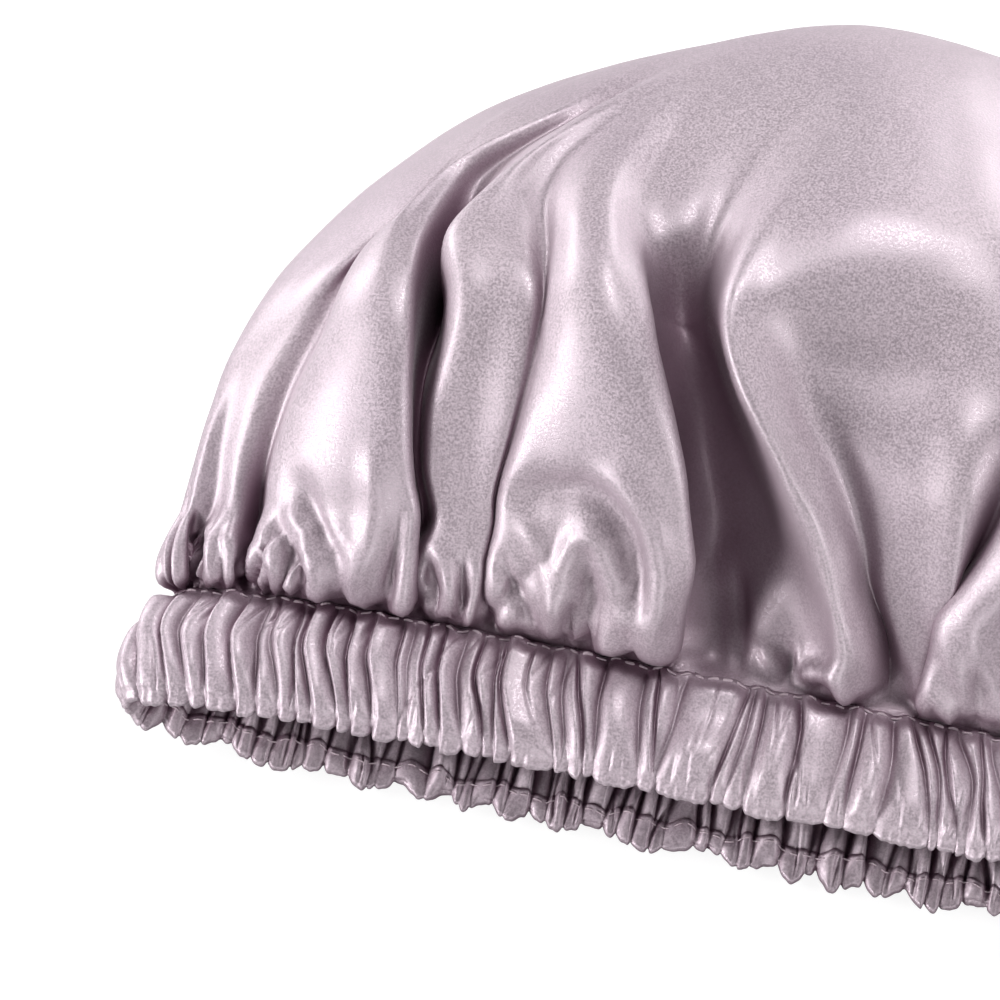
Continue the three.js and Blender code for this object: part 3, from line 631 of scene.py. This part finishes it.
def lining_skin():
    """The lining lies under the lowest part of the shell nearby, so that it shows through no fold."""
    cells = LINING_CELLS
    over = np.sum((crown[len(SEAM_ROWS):] - smooth_grid) * smooth_normals, -1)
    cell = ((np.pi - theta_grid) / (2 * np.pi) * cells).astype(int) % cells
    low = np.full((over.shape[0], cells), CROWN_HEIGHT)
    for j in range(over.shape[0]):
        np.minimum.at(low[j], cell[j], over[j])
    for _ in range(3):
        low = np.minimum(low, np.minimum(np.roll(low, 1, 1), np.roll(low, -1, 1)))
        low = np.minimum(low, np.minimum(np.roll(low, 1, 0), np.roll(low, -1, 0)))
    low = low[::2]
    low = sum(np.roll(low, k, 1) for k in (-1, 0, 1)) / 3
    low = np.minimum(low, LINING_LIMIT)
    low = np.concatenate([np.full((len(SEAM_ROWS), cells), LINING_LIMIT), low])
    d = np.concatenate([SEAM_ROWS, rows_d[::2]])[:, None] + np.zeros(cells)
    angle = np.pi - (np.arange(cells) + 0.5) * 2 * np.pi / cells + 0 * d
    normal = base_normal(d, angle)
    return base_point(d, angle) + normal * (low - SILK - LINING_GAP)[..., None], normal


lining_top, lining_normal = lining_skin()
lining_outer = press(lining_top, LINING_FLOOR_GAP)
lining_inner = press(lining_top - lining_normal * LINING_SILK, LINING_FLOOR_GAP + LINING_SILK)
lining_pole = far_pole(LINING_POLE, LINING_POLE - LINING_SILK)
lining_piece = sheet_mesh("lining_crown", lining_outer, lining_inner, lining_pole)

# The band
fine = np.linspace(np.pi, -np.pi, 8001)
hem_points = base_point(np.zeros_like(fine), fine)
travel_table = np.concatenate([[0], np.cumsum(np.linalg.norm(np.diff(hem_points, axis=0), axis=1))])
LOOP = travel_table[-1]


def travel_of(theta):
    """Millimetres round the hem, from the left end over the top, for an angle."""
    return np.interp(-np.asarray(theta), -fine, travel_table)


def angle_of(travel):
    return np.interp(np.mod(travel, LOOP), travel_table, fine)


# Creases between the pleats of the band's upper side, as top and bottom places in the view
BAND_CREASES = [
    ((128, 622), (107, 684)), ((138, 612), (118, 690)), ((150, 607), (134, 690)), ((160, 604), (143, 690)),
    ((175, 605), (163, 695)), ((194, 604), (183, 698)), ((217, 602), (204, 700)), ((242, 612), (234, 704)),
    ((266, 612), (257, 708)), ((280, 612), (276, 712)), ((302, 612), (298, 716)), ((314, 614), (310, 719)),
    ((338, 617), (333, 724)), ((356, 618), (352, 728)), ((376, 620), (372, 732)), ((384, 622), (378, 733)),
    ((404, 622), (398, 738)), ((415, 626), (409, 741)), ((430, 630), (424, 745)), ((447, 634), (440, 750)),
    ((466, 638), (463, 755)), ((484, 644), (480, 760)), ((499, 648), (496, 765)), ((508, 652), (510, 770)),
    ((553, 660), (553, 772)), ((566, 664), (569, 776)), ((580, 666), (582, 776)), ((606, 672), (592, 772)),
    ((645, 690), (634, 790)), ((657, 690), (655, 795)), ((683, 694), (648, 798)), ((745, 702), (705, 805)),
    ((752, 704), (722, 808)), ((764, 706), (742, 806)), ((800, 710), (787, 822)), ((845, 728), (826, 826)),
    ((862, 732), (842, 834)), ((893, 742), (868, 840)), ((920, 757), (930, 864)), ((936, 762), (941, 866)),
    ((950, 766), (954, 870)), ((968, 770), (970, 874)), ((984, 775), (986, 878)), ((1000, 778), (1003, 884)),
]
# Edges of the pleats along the hem of the band's lower side
LOWER_EDGES = [
    (122, 722), (130, 728), (145, 736), (160, 744), (178, 750), (197, 757), (212, 761), (228, 764),
    (248, 768), (263, 772), (286, 776), (299, 779), (318, 782), (345, 788), (361, 792), (373, 797),
    (386, 803), (420, 803), (447, 806), (455, 808), (472, 808), (490, 814), (504, 818), (522, 824),
    (541, 828), (560, 830), (578, 833), (600, 846), (613, 852), (630, 856), (645, 856), (661, 856),
    (687, 858), (700, 862), (716, 867), (735, 871), (748, 872), (775, 874), (803, 876), (817, 880),
    (842, 890), (860, 894), (881, 895), (901, 899), (921, 906), (940, 912), (960, 920), (980, 926),
    (1000, 932),
]
# In mm: the depth where pleats are compared, their least widths and the steps of those out of sight
BAND_MIDDLE, UPPER_LEAST, LOWER_LEAST, HIDDEN_STEPS = 11, 1.6, 1.4, [2.8, 3.6, 4.6, 6.0, 7.5]


def pleat_lines():
    """Creases once round the loop: the travel at the hem, and its change per mm towards the stitches."""
    top = np.array([a for a, _ in BAND_CREASES], float)
    low = np.array([b for _, b in BAND_CREASES], float)
    reach = np.full(len(top), 3.0)
    t1, a1 = invert(top[:, 0], top[:, 1], reach)
    t2, a2 = invert(low[:, 0], low[:, 1], reach)
    d1, d2, s1, s2 = distance_of(t1), distance_of(t2), travel_of(a1), travel_of(a2)
    slope = (s1 - s2) / np.maximum(d1 - d2, 8)
    hem = s2 - slope * d2
    order = np.argsort(hem + slope * BAND_MIDDLE)
    upper = [(hem[i], float(np.clip(slope[i], -0.6, 0.6))) for i in order]
    edges = np.array(LOWER_EDGES, float)
    _, a3 = invert(edges[:, 0], edges[:, 1] - 4, np.full(len(edges), -2.5), under=True)
    lower = sorted((float(s), 0.0) for s in travel_of(a3))
    lines = []
    for s, k in upper:
        if not lines or s + BAND_MIDDLE * k > lines[-1][0] + BAND_MIDDLE * lines[-1][1] + UPPER_LEAST:
            lines.append((s, k))
    local = np.random.default_rng(3)
    place = lines[-1][0] + 5
    while place < lower[0][0] - 4:
        lines.append((place, local.uniform(-0.18, 0.18)))
        place += local.choice(HIDDEN_STEPS) * local.uniform(0.8, 1.2)
    for s, k in lower:
        if s > lines[-1][0] + LOWER_LEAST:
            lines.append((s, local.uniform(-0.08, 0.08)))
    lines = [line for line in lines if line[0] < LOOP + lines[0][0] - 2]
    return np.array(lines)


PLEATS = pleat_lines()
pleat_rng = np.random.default_rng(11)
PLEAT_HEIGHT = pleat_rng.uniform(0.7, 1.15, len(PLEATS))
PLEAT_PEAK = pleat_rng.choice([0.15, 0.2, 0.25, 0.32, 0.4, 0.5, 0.7], len(PLEATS))
PLEAT_DROP = pleat_rng.uniform(-0.6, 1.0, len(PLEATS))
PLEAT_BEND = pleat_rng.uniform(0.15, 0.8, len(PLEATS))
PLEAT_WAVE = pleat_rng.uniform(3.2, 7.0, len(PLEATS))
PLEAT_PHASE = pleat_rng.uniform(0, 6.28, len(PLEATS))


def pleats(travel, depth):
    """Height of the pleats from 0 to about 1, and the number of the pleat."""
    travel, depth = np.broadcast_arrays(np.asarray(travel, float), np.asarray(depth, float))
    bend = PLEAT_BEND * np.sin(depth[..., None] / PLEAT_WAVE + PLEAT_PHASE)
    edge = PLEATS[:, 0] + PLEATS[:, 1] * depth[..., None] + bend
    edge = np.maximum.accumulate(edge, -1)
    s = travel[..., None]
    number = np.sum(edge <= s, -1) - 1
    wrapped = number < 0
    number = np.where(wrapped, len(PLEATS) - 1, number)
    here = np.take_along_axis(edge, number[..., None], -1)[..., 0] - np.where(wrapped, LOOP, 0)
    after = np.take_along_axis(edge, ((number + 1) % len(PLEATS))[..., None], -1)[..., 0]
    after = np.where(after <= here, after + LOOP, after)
    width = np.maximum(after - here, 0.6)
    share = np.clip((travel - here) / width, 0, 1)
    peak = PLEAT_PEAK[number]
    away = np.where(share < peak, (peak - share) / peak, (share - peak) / (1 - peak))
    power = np.clip(1.9 + (width - 3.0) * 0.12, 1.9, 3.0)
    shape = 1 - away ** power
    size = PLEAT_HEIGHT[number] * np.clip(width / 4.5, 0.35, 1.0)
    return shape * size, number


def wrinkles(travel, depth, seed):
    """Fine wrinkles that run from the hem to the stitch line."""
    local = np.random.default_rng(seed)
    out = np.zeros(np.broadcast(travel, depth).shape)
    for _ in range(7):
        wave = 2 * np.pi * round(LOOP / local.uniform(1.7, 5.0)) / LOOP
        lean = local.uniform(-0.25, 0.25)
        change = np.sin(travel * 2 * np.pi * local.integers(9, 30) / LOOP + local.uniform(0, 6)) * 0.5 + 0.5
        out = out + np.sin(wave * (travel + lean * depth) + local.uniform(0, 6)) * change / 7
    return out


# The nicks between them: ranges in mm, and the share that starts at the hem
NICK_STEP, NICK_LENGTH, NICK_SIZE, NICK_WIDTH = (1.6, 4.2), (3, 13), (0.35, 1.2), (0.3, 0.6)
NICKS_AT_HEM = 0.55


def nicks(travel, depth):
    """Short creases that start at the hem or at the stitch line and run out on the pleats."""
    local = np.random.default_rng(17)
    travel, depth = np.broadcast_arrays(np.asarray(travel, float), np.asarray(depth, float))
    out = np.zeros(travel.shape)
    place = 0.0
    while place < LOOP:
        place += local.uniform(*NICK_STEP)
        from_hem = local.random() < NICKS_AT_HEM
        length, size, width = (local.uniform(*span) for span in (NICK_LENGTH, NICK_SIZE, NICK_WIDTH))
        lean, bow = local.uniform(-0.2, 0.2), local.uniform(-0.02, 0.02)
        back = depth if from_hem else BAND_DEPTH - depth
        away = np.mod(travel - place - lean * back - bow * back ** 2 + LOOP / 2, LOOP) - LOOP / 2
        near = np.abs(away) < 2.2
        run = np.exp(-(np.maximum(back[near], 0) / length) ** 2)
        out[near] -= size * run * np.exp(-(away[near] / (width * (1.4 - 0.4 * run))) ** 2)
    return out


COLUMNS = 2200
stations = (np.arange(COLUMNS) + 0.5) * LOOP / COLUMNS
PLEAT_RISE, FACING_RISE, BARREL_RISE = 2.7, 3.0, 1.9


def band_surface(depth, reach, travel=stations):
    """Band points from arrays of rows by columns."""
    theta = np.broadcast_to(angle_of(travel), depth.shape)
    return base_point(depth, theta) + base_normal(depth, theta) * reach[..., None]


def casing_reach(travel, depth):
    """How far the outer strip stands out at a place on the band, and the number of its pleat."""
    depth = np.broadcast_to(np.asarray(depth, float), np.shape(travel))
    shape, number = pleats(travel, depth)
    held = smooth_step((BAND_DEPTH - 0.2 - depth) / 3.5)
    near_hem = 0.55 + 0.45 * smooth_step(depth / 6)
    swing = 1 + 0.3 * np.sin(depth / (0.8 * PLEAT_WAVE[number]) + 2.3 * number)
    fold = PLEAT_RISE * shape * swing * (0.4 + 0.6 * held) * near_hem
    barrel = BARREL_RISE * np.sin(np.pi * np.clip(depth / BAND_DEPTH, 0, 1) ** 0.8) ** 0.8
    fold = fold + nicks(travel, depth) * (0.3 + 0.7 * shape) * held + 0.05 * wrinkles(travel, depth, 4)
    return np.maximum(CASING_REACH - 0.35 + fold + barrel - 0.3 * (1 - held), CORE_REACH), number


def facing_reach(travel, depth):
    """The same for the inner strip, which stands in."""
    depth = np.broadcast_to(np.asarray(depth, float), np.shape(travel))
    shape, number = pleats(travel, depth)
    swing = 1 + 0.35 * np.sin(depth / (0.7 * PLEAT_WAVE[number]) + 1.7 * number)
    rise = smooth_step(depth / 7)
    held = 0.45 + 0.55 * smooth_step((BAND_DEPTH - depth) / 5)
    fold = FACING_RISE * shape * swing * (0.35 + 0.65 * rise) * held
    fold = fold + 1.1 * nicks(travel + 3.7, depth) * (0.3 + 0.7 * shape)
    return -np.maximum(0.95 + 0.65 * smooth_step(depth / 4) + fold, CORE_REACH * smooth_step(depth / 3))


LIP_LIFT = 0.36


def lip_reach(travel, depth):
    """The turned-up edge inside the hem lies on the inner strip's pleats."""
    return facing_reach(travel, depth) - LIP_LIFT


def waves(travel, count, push=0, push_count=1):
    """A number of waves round the loop, which slower waves push to and fro."""
    pushed = push * np.sin(travel * 2 * np.pi * push_count / LOOP)
    return np.sin(travel * 2 * np.pi * count / LOOP + pushed)


def stitch_wave(travel):
    """The stitch line is drawn in unevenly by the elastic."""
    return 0.28 * waves(travel, 61, 2, 9) + 0.2 * waves(travel, 103)


def lip_wave(travel):
    """The turned-up edge and its stitches wander a little more."""
    return 0.55 * waves(travel, 33, 2, 5) + 0.3 * waves(travel, 83)


# Rows of the outer strip: one at the seam, an even run, the fold of the hem and the turned-up edge
SEAM_ROW, FIRST_ROW, LAST_ROW, EVEN_ROWS = 23.9, 23.3, 1.6, 38
HEM_ROWS = [(1.1, 0.35), (0.6, 0.75)]
LIP_START, LIP_DEPTH = 0.4, 3.2
LIP_ROWS = [(LIP_START, 0.4), (0.9, 0.75), (1.5, 1.0), (2.2, 1.0), (3.0, 1.0), (LIP_START + LIP_DEPTH, 1.0)]
HEM_ROUND = 0.6
# In mm, how far the hem hangs past its line: everywhere, on pleats, unevenly, on ruffles, underneath
HEM_DROP, LOBE_DROP, UNEVEN_DROP, RUFFLE_DROP, UNDER_DROP = 0.6, 1.1, 0.8, 0.5, 1.3


def casing_rows():
    depth, reach = [], []
    for d in np.concatenate([[SEAM_ROW], np.linspace(FIRST_ROW, LAST_ROW, EVEN_ROWS)]):
        out, _ = casing_reach(stations, d)
        if d == SEAM_ROW:
            out = np.full(COLUMNS, SHELL_REACH + SILK + 0.12)
        depth.append(d + stitch_wave(stations) * smooth_step((d - 17) / 5))
        reach.append(out)
    out, number = casing_reach(stations, LAST_ROW)
    shape, _ = pleats(stations, 0)
    ruffle = wrinkles(stations, 0, 31)
    below = smooth_step(-np.sin(angle_of(stations)) / 0.3)
    lobe = 1 - (1 - np.clip(shape, 0, 1)) ** 2
    drop = (HEM_DROP + LOBE_DROP * lobe + UNEVEN_DROP * PLEAT_DROP[number] * lobe + RUFFLE_DROP * ruffle
            + UNDER_DROP * below * waves(stations, 41, 3, 7))
    # The hem is a thin fold of cloth that waves with the pleats
    edge_out = 0.55 + 0.8 * shape + 0.3 * ruffle
    edge_in = mix(lip_reach(stations, HEM_ROUND), -0.3 + 0.3 * ruffle, 0.6)
    middle, half = (edge_out + edge_in) / 2, (edge_out - edge_in) / 2
    for d, part in HEM_ROWS:
        depth.append(d - drop * 0.3)
        reach.append(mix(out, edge_out, part))
    for angle in np.linspace(0, np.pi, 7):
        depth.append(-drop + HEM_ROUND - HEM_ROUND * np.sin(angle))
        reach.append(middle + half * np.cos(angle))
    for d, part in LIP_ROWS:
        waved = d + lip_wave(stations) * smooth_step((d - 0.6) / 1.6)
        depth.append(waved - drop * 0.5 * (1 - (d - LIP_START) / LIP_DEPTH))
        reach.append(mix(edge_in, lip_reach(stations, depth[-1]), part))
    return np.stack(depth), np.stack(reach)


# The line inside the casing that its inner side faces
HEART_DEPTH, HEART_REACH, HEART_SHARE = 2.0, -0.15, 0.9
depth, reach = casing_rows()
casing_outer = band_surface(depth, reach)
heart = band_surface(HEART_DEPTH + HEART_SHARE * (depth - HEART_DEPTH), np.full_like(reach, HEART_REACH))
inward = heart - casing_outer
inward /= np.linalg.norm(inward, axis=-1, keepdims=True)
casing_inner = casing_outer + inward * BAND_SILK
casing_piece = sheet_mesh("silk_band", press(casing_outer, FLOOR_GAP),
                          press(casing_inner, FLOOR_GAP + BAND_SILK))

FACING_START, FACING_ROWS = 1.7, 34
facing_depth = np.repeat(np.linspace(FACING_START, BAND_DEPTH, FACING_ROWS)[:, None], COLUMNS, 1)
facing_r = np.stack([facing_reach(stations, row) for row in facing_depth])
facing_outer = band_surface(facing_depth, facing_r)
facing_inner = band_surface(facing_depth, facing_r + BAND_SILK)
facing_piece = sheet_mesh("lining_band", facing_inner, facing_outer)


def stitches(name, depth, surface, length, pitch, thickness, side_out, wave):
    """A line of short stitches once round the band, each a small rounded bar on the cloth."""
    count = int(LOOP / pitch)
    start = (np.arange(count) + 0.5) * LOOP / count
    local = np.random.default_rng(2)
    size = length * local.uniform(0.85, 1.1, count)
    rings = np.array([0.0, 0.12, 0.5, 0.88, 1.0])
    girth = np.array([0.35, 0.9, 1.0, 0.9, 0.35])
    sink = np.array([-0.14, -0.02, 0.06, -0.02, -0.14])
    sides = 6
    spin = np.arange(sides) * 2 * np.pi / sides
    points = []
    for ring in range(len(rings)):
        at = start + (rings[ring] - 0.5) * size
        for side in range(sides):
            lie = depth + wave(at)
            dd = lie + 0.5 * thickness * girth[ring] * np.cos(spin[side])
            rise = sink[ring] + 0.5 * thickness * girth[ring] * np.sin(spin[side])
            points.append(band_surface(dd, surface(at, lie) + side_out * rise, at))
    points = np.stack(points, 1)  # stitches by corners
    per = len(rings) * sides
    first = np.arange(count)[:, None, None] * per
    a = first + np.arange(len(rings) - 1)[:, None] * sides
    side = np.arange(sides)
    after = (side + 1) % sides
    faces = np.stack([a + side, a + after, a + sides + after, a + sides + side], -1)
    fan = np.array([(0, n, n + 1) for n in range(1, sides - 1)])
    caps = first[..., None] + np.stack([sides - 1 - fan, per - sides + fan])
    return solid(name, points.reshape(-1, 3), faces.reshape(-1, 4), caps.reshape(-1, 3))


topstitch = stitches("topstitch_seam", depth=22.9, surface=lambda s, d: casing_reach(s, d)[0] + 0.06,
                     length=2.1, pitch=2.9, thickness=0.42, side_out=1, wave=stitch_wave)
hemstitch = stitches("hem_seam", depth=2.5, surface=lambda s, d: lip_reach(s, d) - 0.05,
                     length=1.9, pitch=2.6, thickness=0.36, side_out=-1, wave=lip_wave)


# Materials
def new_material(name):
    made = bpy.data.materials.new(name)
    made.use_nodes = True
    return made, made.node_tree, made.node_tree.nodes["Principled BSDF"]


def put(node, **values):
    """Sets a node's inputs. Their names have an underscore for each space."""
    for name, value in values.items():
        node.inputs[name.replace("_", " ")].default_value = value
    return node


def add(tree, kind, **values):
    return put(tree.nodes.new("ShaderNode" + kind), **values)


def blend(tree, kind="MIX", **values):
    """A node that blends two colours."""
    made = tree.nodes.new("ShaderNodeMix")
    made.data_type = "RGBA"
    made.blend_type = kind
    return put(made, **values)


def join(tree, *links):
    for source, output, target, name in links:
        tree.links.new(source.outputs[output], target.inputs[name])


# The fold colour is painted shade: the colour the silk is darkened to deep between folds
SILK_COLOUR, SILK_SHADE, FOLD_SHADE_COLOUR = (0.515, 0.43, 0.48, 1), (0.49, 0.405, 0.46, 1), (0.14, 0.065, 0.105, 1)
GRAIN_SCALE, GRAIN_ROUGHNESS, GRAIN_BUMP = 2200, 0.13, 0.00008
FOLD_REACH = 0.032  # metres over which the cloth nearby counts as hiding a place, for the painted fold shade


def satin(name, metallic, roughness, closed, clear):
    """Satin silk with painted fold shade: where only the share closed of its surroundings is open, its colour
    is the painted shade colour, and from the share clear on it keeps its own colour."""
    made, tree, shader = new_material(name)
    put(shader, Metallic=metallic, Specular_IOR_Level=0.85,
        Sheen_Weight=0.15, Sheen_Roughness=0.4, Sheen_Tint=(0.95, 0.85, 0.92, 1))
    coords = add(tree, "TexCoord")
    broad = add(tree, "TexNoise", Scale=28, Detail=3)
    spread = add(tree, "MapRange", From_Min=0.3, From_Max=0.6)
    tint = blend(tree, A=SILK_SHADE, B=SILK_COLOUR)
    # The satin's fine grain: short threads that catch the light one by one
    grain = add(tree, "TexNoise", Scale=GRAIN_SCALE, Detail=2)
    sharp = add(tree, "MapRange", From_Min=0.36, From_Max=0.64)
    speck = add(tree, "MapRange", To_Min=roughness - GRAIN_ROUGHNESS, To_Max=roughness + GRAIN_ROUGHNESS)
    shade = add(tree, "MapRange", To_Min=0.8, To_Max=1.13)
    grey = blend(tree, "MULTIPLY", Factor=1.0)
    bump = add(tree, "Bump", Strength=0.5, Distance=GRAIN_BUMP)
    # Painted shade: deep between folds, where the cloth nearby hides a place, the colour is darkened to a
    # dull purple
    hidden = add(tree, "AmbientOcclusion", Distance=FOLD_REACH)
    hidden.samples = 6
    open_share = add(tree, "MapRange", From_Min=closed, From_Max=clear)
    painted_fold_shade = blend(tree, A=FOLD_SHADE_COLOUR)
    join(tree, (coords, "Object", broad, "Vector"), (broad, "Fac", spread, "Value"),
         (spread, "Result", tint, "Factor"), (coords, "Object", grain, "Vector"),
         (grain, "Fac", sharp, "Value"), (sharp, "Result", speck, "Value"),
         (speck, "Result", shader, "Roughness"), (sharp, "Result", shade, "Value"),
         (tint, "Result", grey, "A"), (shade, "Result", grey, "B"),
         (hidden, "AO", open_share, "Value"), (open_share, "Result", painted_fold_shade, "Factor"),
         (grey, "Result", painted_fold_shade, "B"), (painted_fold_shade, "Result", shader, "Base Color"),
         (grain, "Fac", bump, "Height"), (bump, "Normal", shader, "Normal"))
    return made


def plain_yarn(name, colour, roughness, scale):
    made, tree, shader = new_material(name)
    put(shader, Sheen_Weight=0.2, Roughness=roughness)
    coords = add(tree, "TexCoord")
    fibre = add(tree, "TexNoise", Scale=scale, Detail=2)
    tint = blend(tree, A=(*[0.7 * c for c in colour], 1), B=(*colour, 1))
    bump = add(tree, "Bump", Strength=0.5, Distance=0.0001)
    join(tree, (coords, "Object", fibre, "Vector"), (fibre, "Fac", tint, "Factor"),
         (tint, "Result", shader, "Base Color"), (fibre, "Fac", bump, "Height"),
         (bump, "Normal", shader, "Normal"))
    return made


silk = satin("satin_shell", metallic=0.3, roughness=0.48, closed=0.28, clear=0.85)
band_silk = satin("satin_band", metallic=0.35, roughness=0.5, closed=0.32, clear=0.78)
lining_silk = satin("satin_lining", metallic=0.3, roughness=0.5, closed=0.14, clear=0.55)
yarn = plain_yarn("sewing_yarn", (0.6, 0.48, 0.54), roughness=0.6, scale=3000)
elastic = plain_yarn("woven_elastic", (0.78, 0.75, 0.74), roughness=0.85, scale=1200)


def dress(piece, material):
    piece.data.materials.clear()
    piece.data.materials.append(material)


for piece, material, slot, node in (
        (crown_piece, silk, "silk_outer", "crown_shell"),
        (lining_piece, lining_silk, "silk_lining", "crown_lining"),
        (casing_piece, band_silk, "silk_outer", "band_casing"),
        (facing_piece, lining_silk, "silk_lining", "band_facing"),
        (topstitch, yarn, "thread", "topstitch_thread"),
        (hemstitch, yarn, "thread", "hem_stitch_thread")):
    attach(piece, "root")
    dress(piece, material)
    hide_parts(node)
dress(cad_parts["elastic_loop"], elastic)


# Floor, light and camera
def camera_switch(tree, output, seen, unseen):
    """One shader for the camera and another for all other rays."""
    path, choose, out = add(tree, "LightPath"), add(tree, "MixShader"), add(tree, output)
    join(tree, (path, "Is Camera Ray", choose, 0), (unseen, 0, choose, 1), (seen, 0, choose, 2),
         (choose, 0, out, 0))


# The floor lies a little under the table's height and looks white to the camera
FLOOR_HALF, FLOOR_DROP = 3, 0.0003
floor_material, tree, _ = new_material("floor")
tree.nodes.clear()
matte = add(tree, "BsdfDiffuse", Color=(0.32, 0.32, 0.32, 1))
shown = add(tree, "BsdfDiffuse", Color=(0.3, 0.3, 0.3, 1))
glow = add(tree, "Emission", Color=(1, 1, 1, 1), Strength=0.86)
both = add(tree, "AddShader")
join(tree, (shown, 0, both, 0), (glow, 0, both, 1))
camera_switch(tree, "OutputMaterial", both, matte)
floor_mesh = bpy.data.meshes.new("floor")
corners = [(x * FLOOR_HALF, y * FLOOR_HALF, -FLOOR_DROP) for x, y in ((-1, -1), (1, -1), (1, 1), (-1, 1))]
floor_mesh.from_pydata(corners, [], [(0, 1, 2, 3)])
floor = link(bpy.data.objects.new("floor", floor_mesh))
floor_mesh.materials.append(floor_material)

world = bpy.data.worlds.new("studio")
bpy.context.scene.world = world
world.use_nodes = True
tree = world.node_tree
tree.nodes.clear()
room = add(tree, "Background", Color=(1, 0.98, 1, 1), Strength=0.04)
white = add(tree, "Background", Color=(1, 1, 1, 1), Strength=1.0)
camera_switch(tree, "OutputWorld", white, room)

# Soft lamps low round the bonnet: the ridges catch them and the deep folds stay dark
LAMP_AIM, LAMP_SIZE = (0, 0, 0.03), 0.45
LAMPS = [  # place in metres, watts
    ("left_front", (-0.89, -0.65, 0.1), 10.5), ("left", (-0.97, -0.32, 0.41), 4.5),
    ("left_back", (-0.93, 0.5, 0.25), 6), ("back", (0.34, 1.05, 0.2), 4.5),
    ("right_back", (0.89, 0.65, 0.1), 7), ("right", (0.97, -0.32, 0.41), 5),
    ("right_low", (1.1, 0.0, 0.1), 1.2), ("top", (0.1, 0.4, 1.0), 8), ("front", (0.34, -1.05, 0.1), 4),
]
for name, place, power in LAMPS:
    data = bpy.data.lights.new(name, "AREA")
    data.shape = "RECTANGLE"
    data.size = data.size_y = LAMP_SIZE
    data.energy = power
    lamp = link(bpy.data.objects.new(name, data))
    lamp.location = place
    lamp.rotation_mode = "QUATERNION"
    lamp.rotation_quaternion = (Vector(LAMP_AIM) - Vector(place)).to_track_quat("-Z", "Y")

camera_data = bpy.data.cameras.new("camera")
camera_data.lens, camera_data.sensor_width = LENS, SENSOR
camera_data.clip_start, camera_data.clip_end = 0.05, 20
camera = link(bpy.data.objects.new("camera", camera_data))
camera.location = ((EYE + SHIFT) * MM).tolist()
camera.rotation_mode = "QUATERNION"
camera.rotation_quaternion = Vector((-BACK).tolist()).to_track_quat("-Z", "Y")
bpy.context.scene.camera = camera
bpy.context.scene.view_settings.view_transform = "Standard"
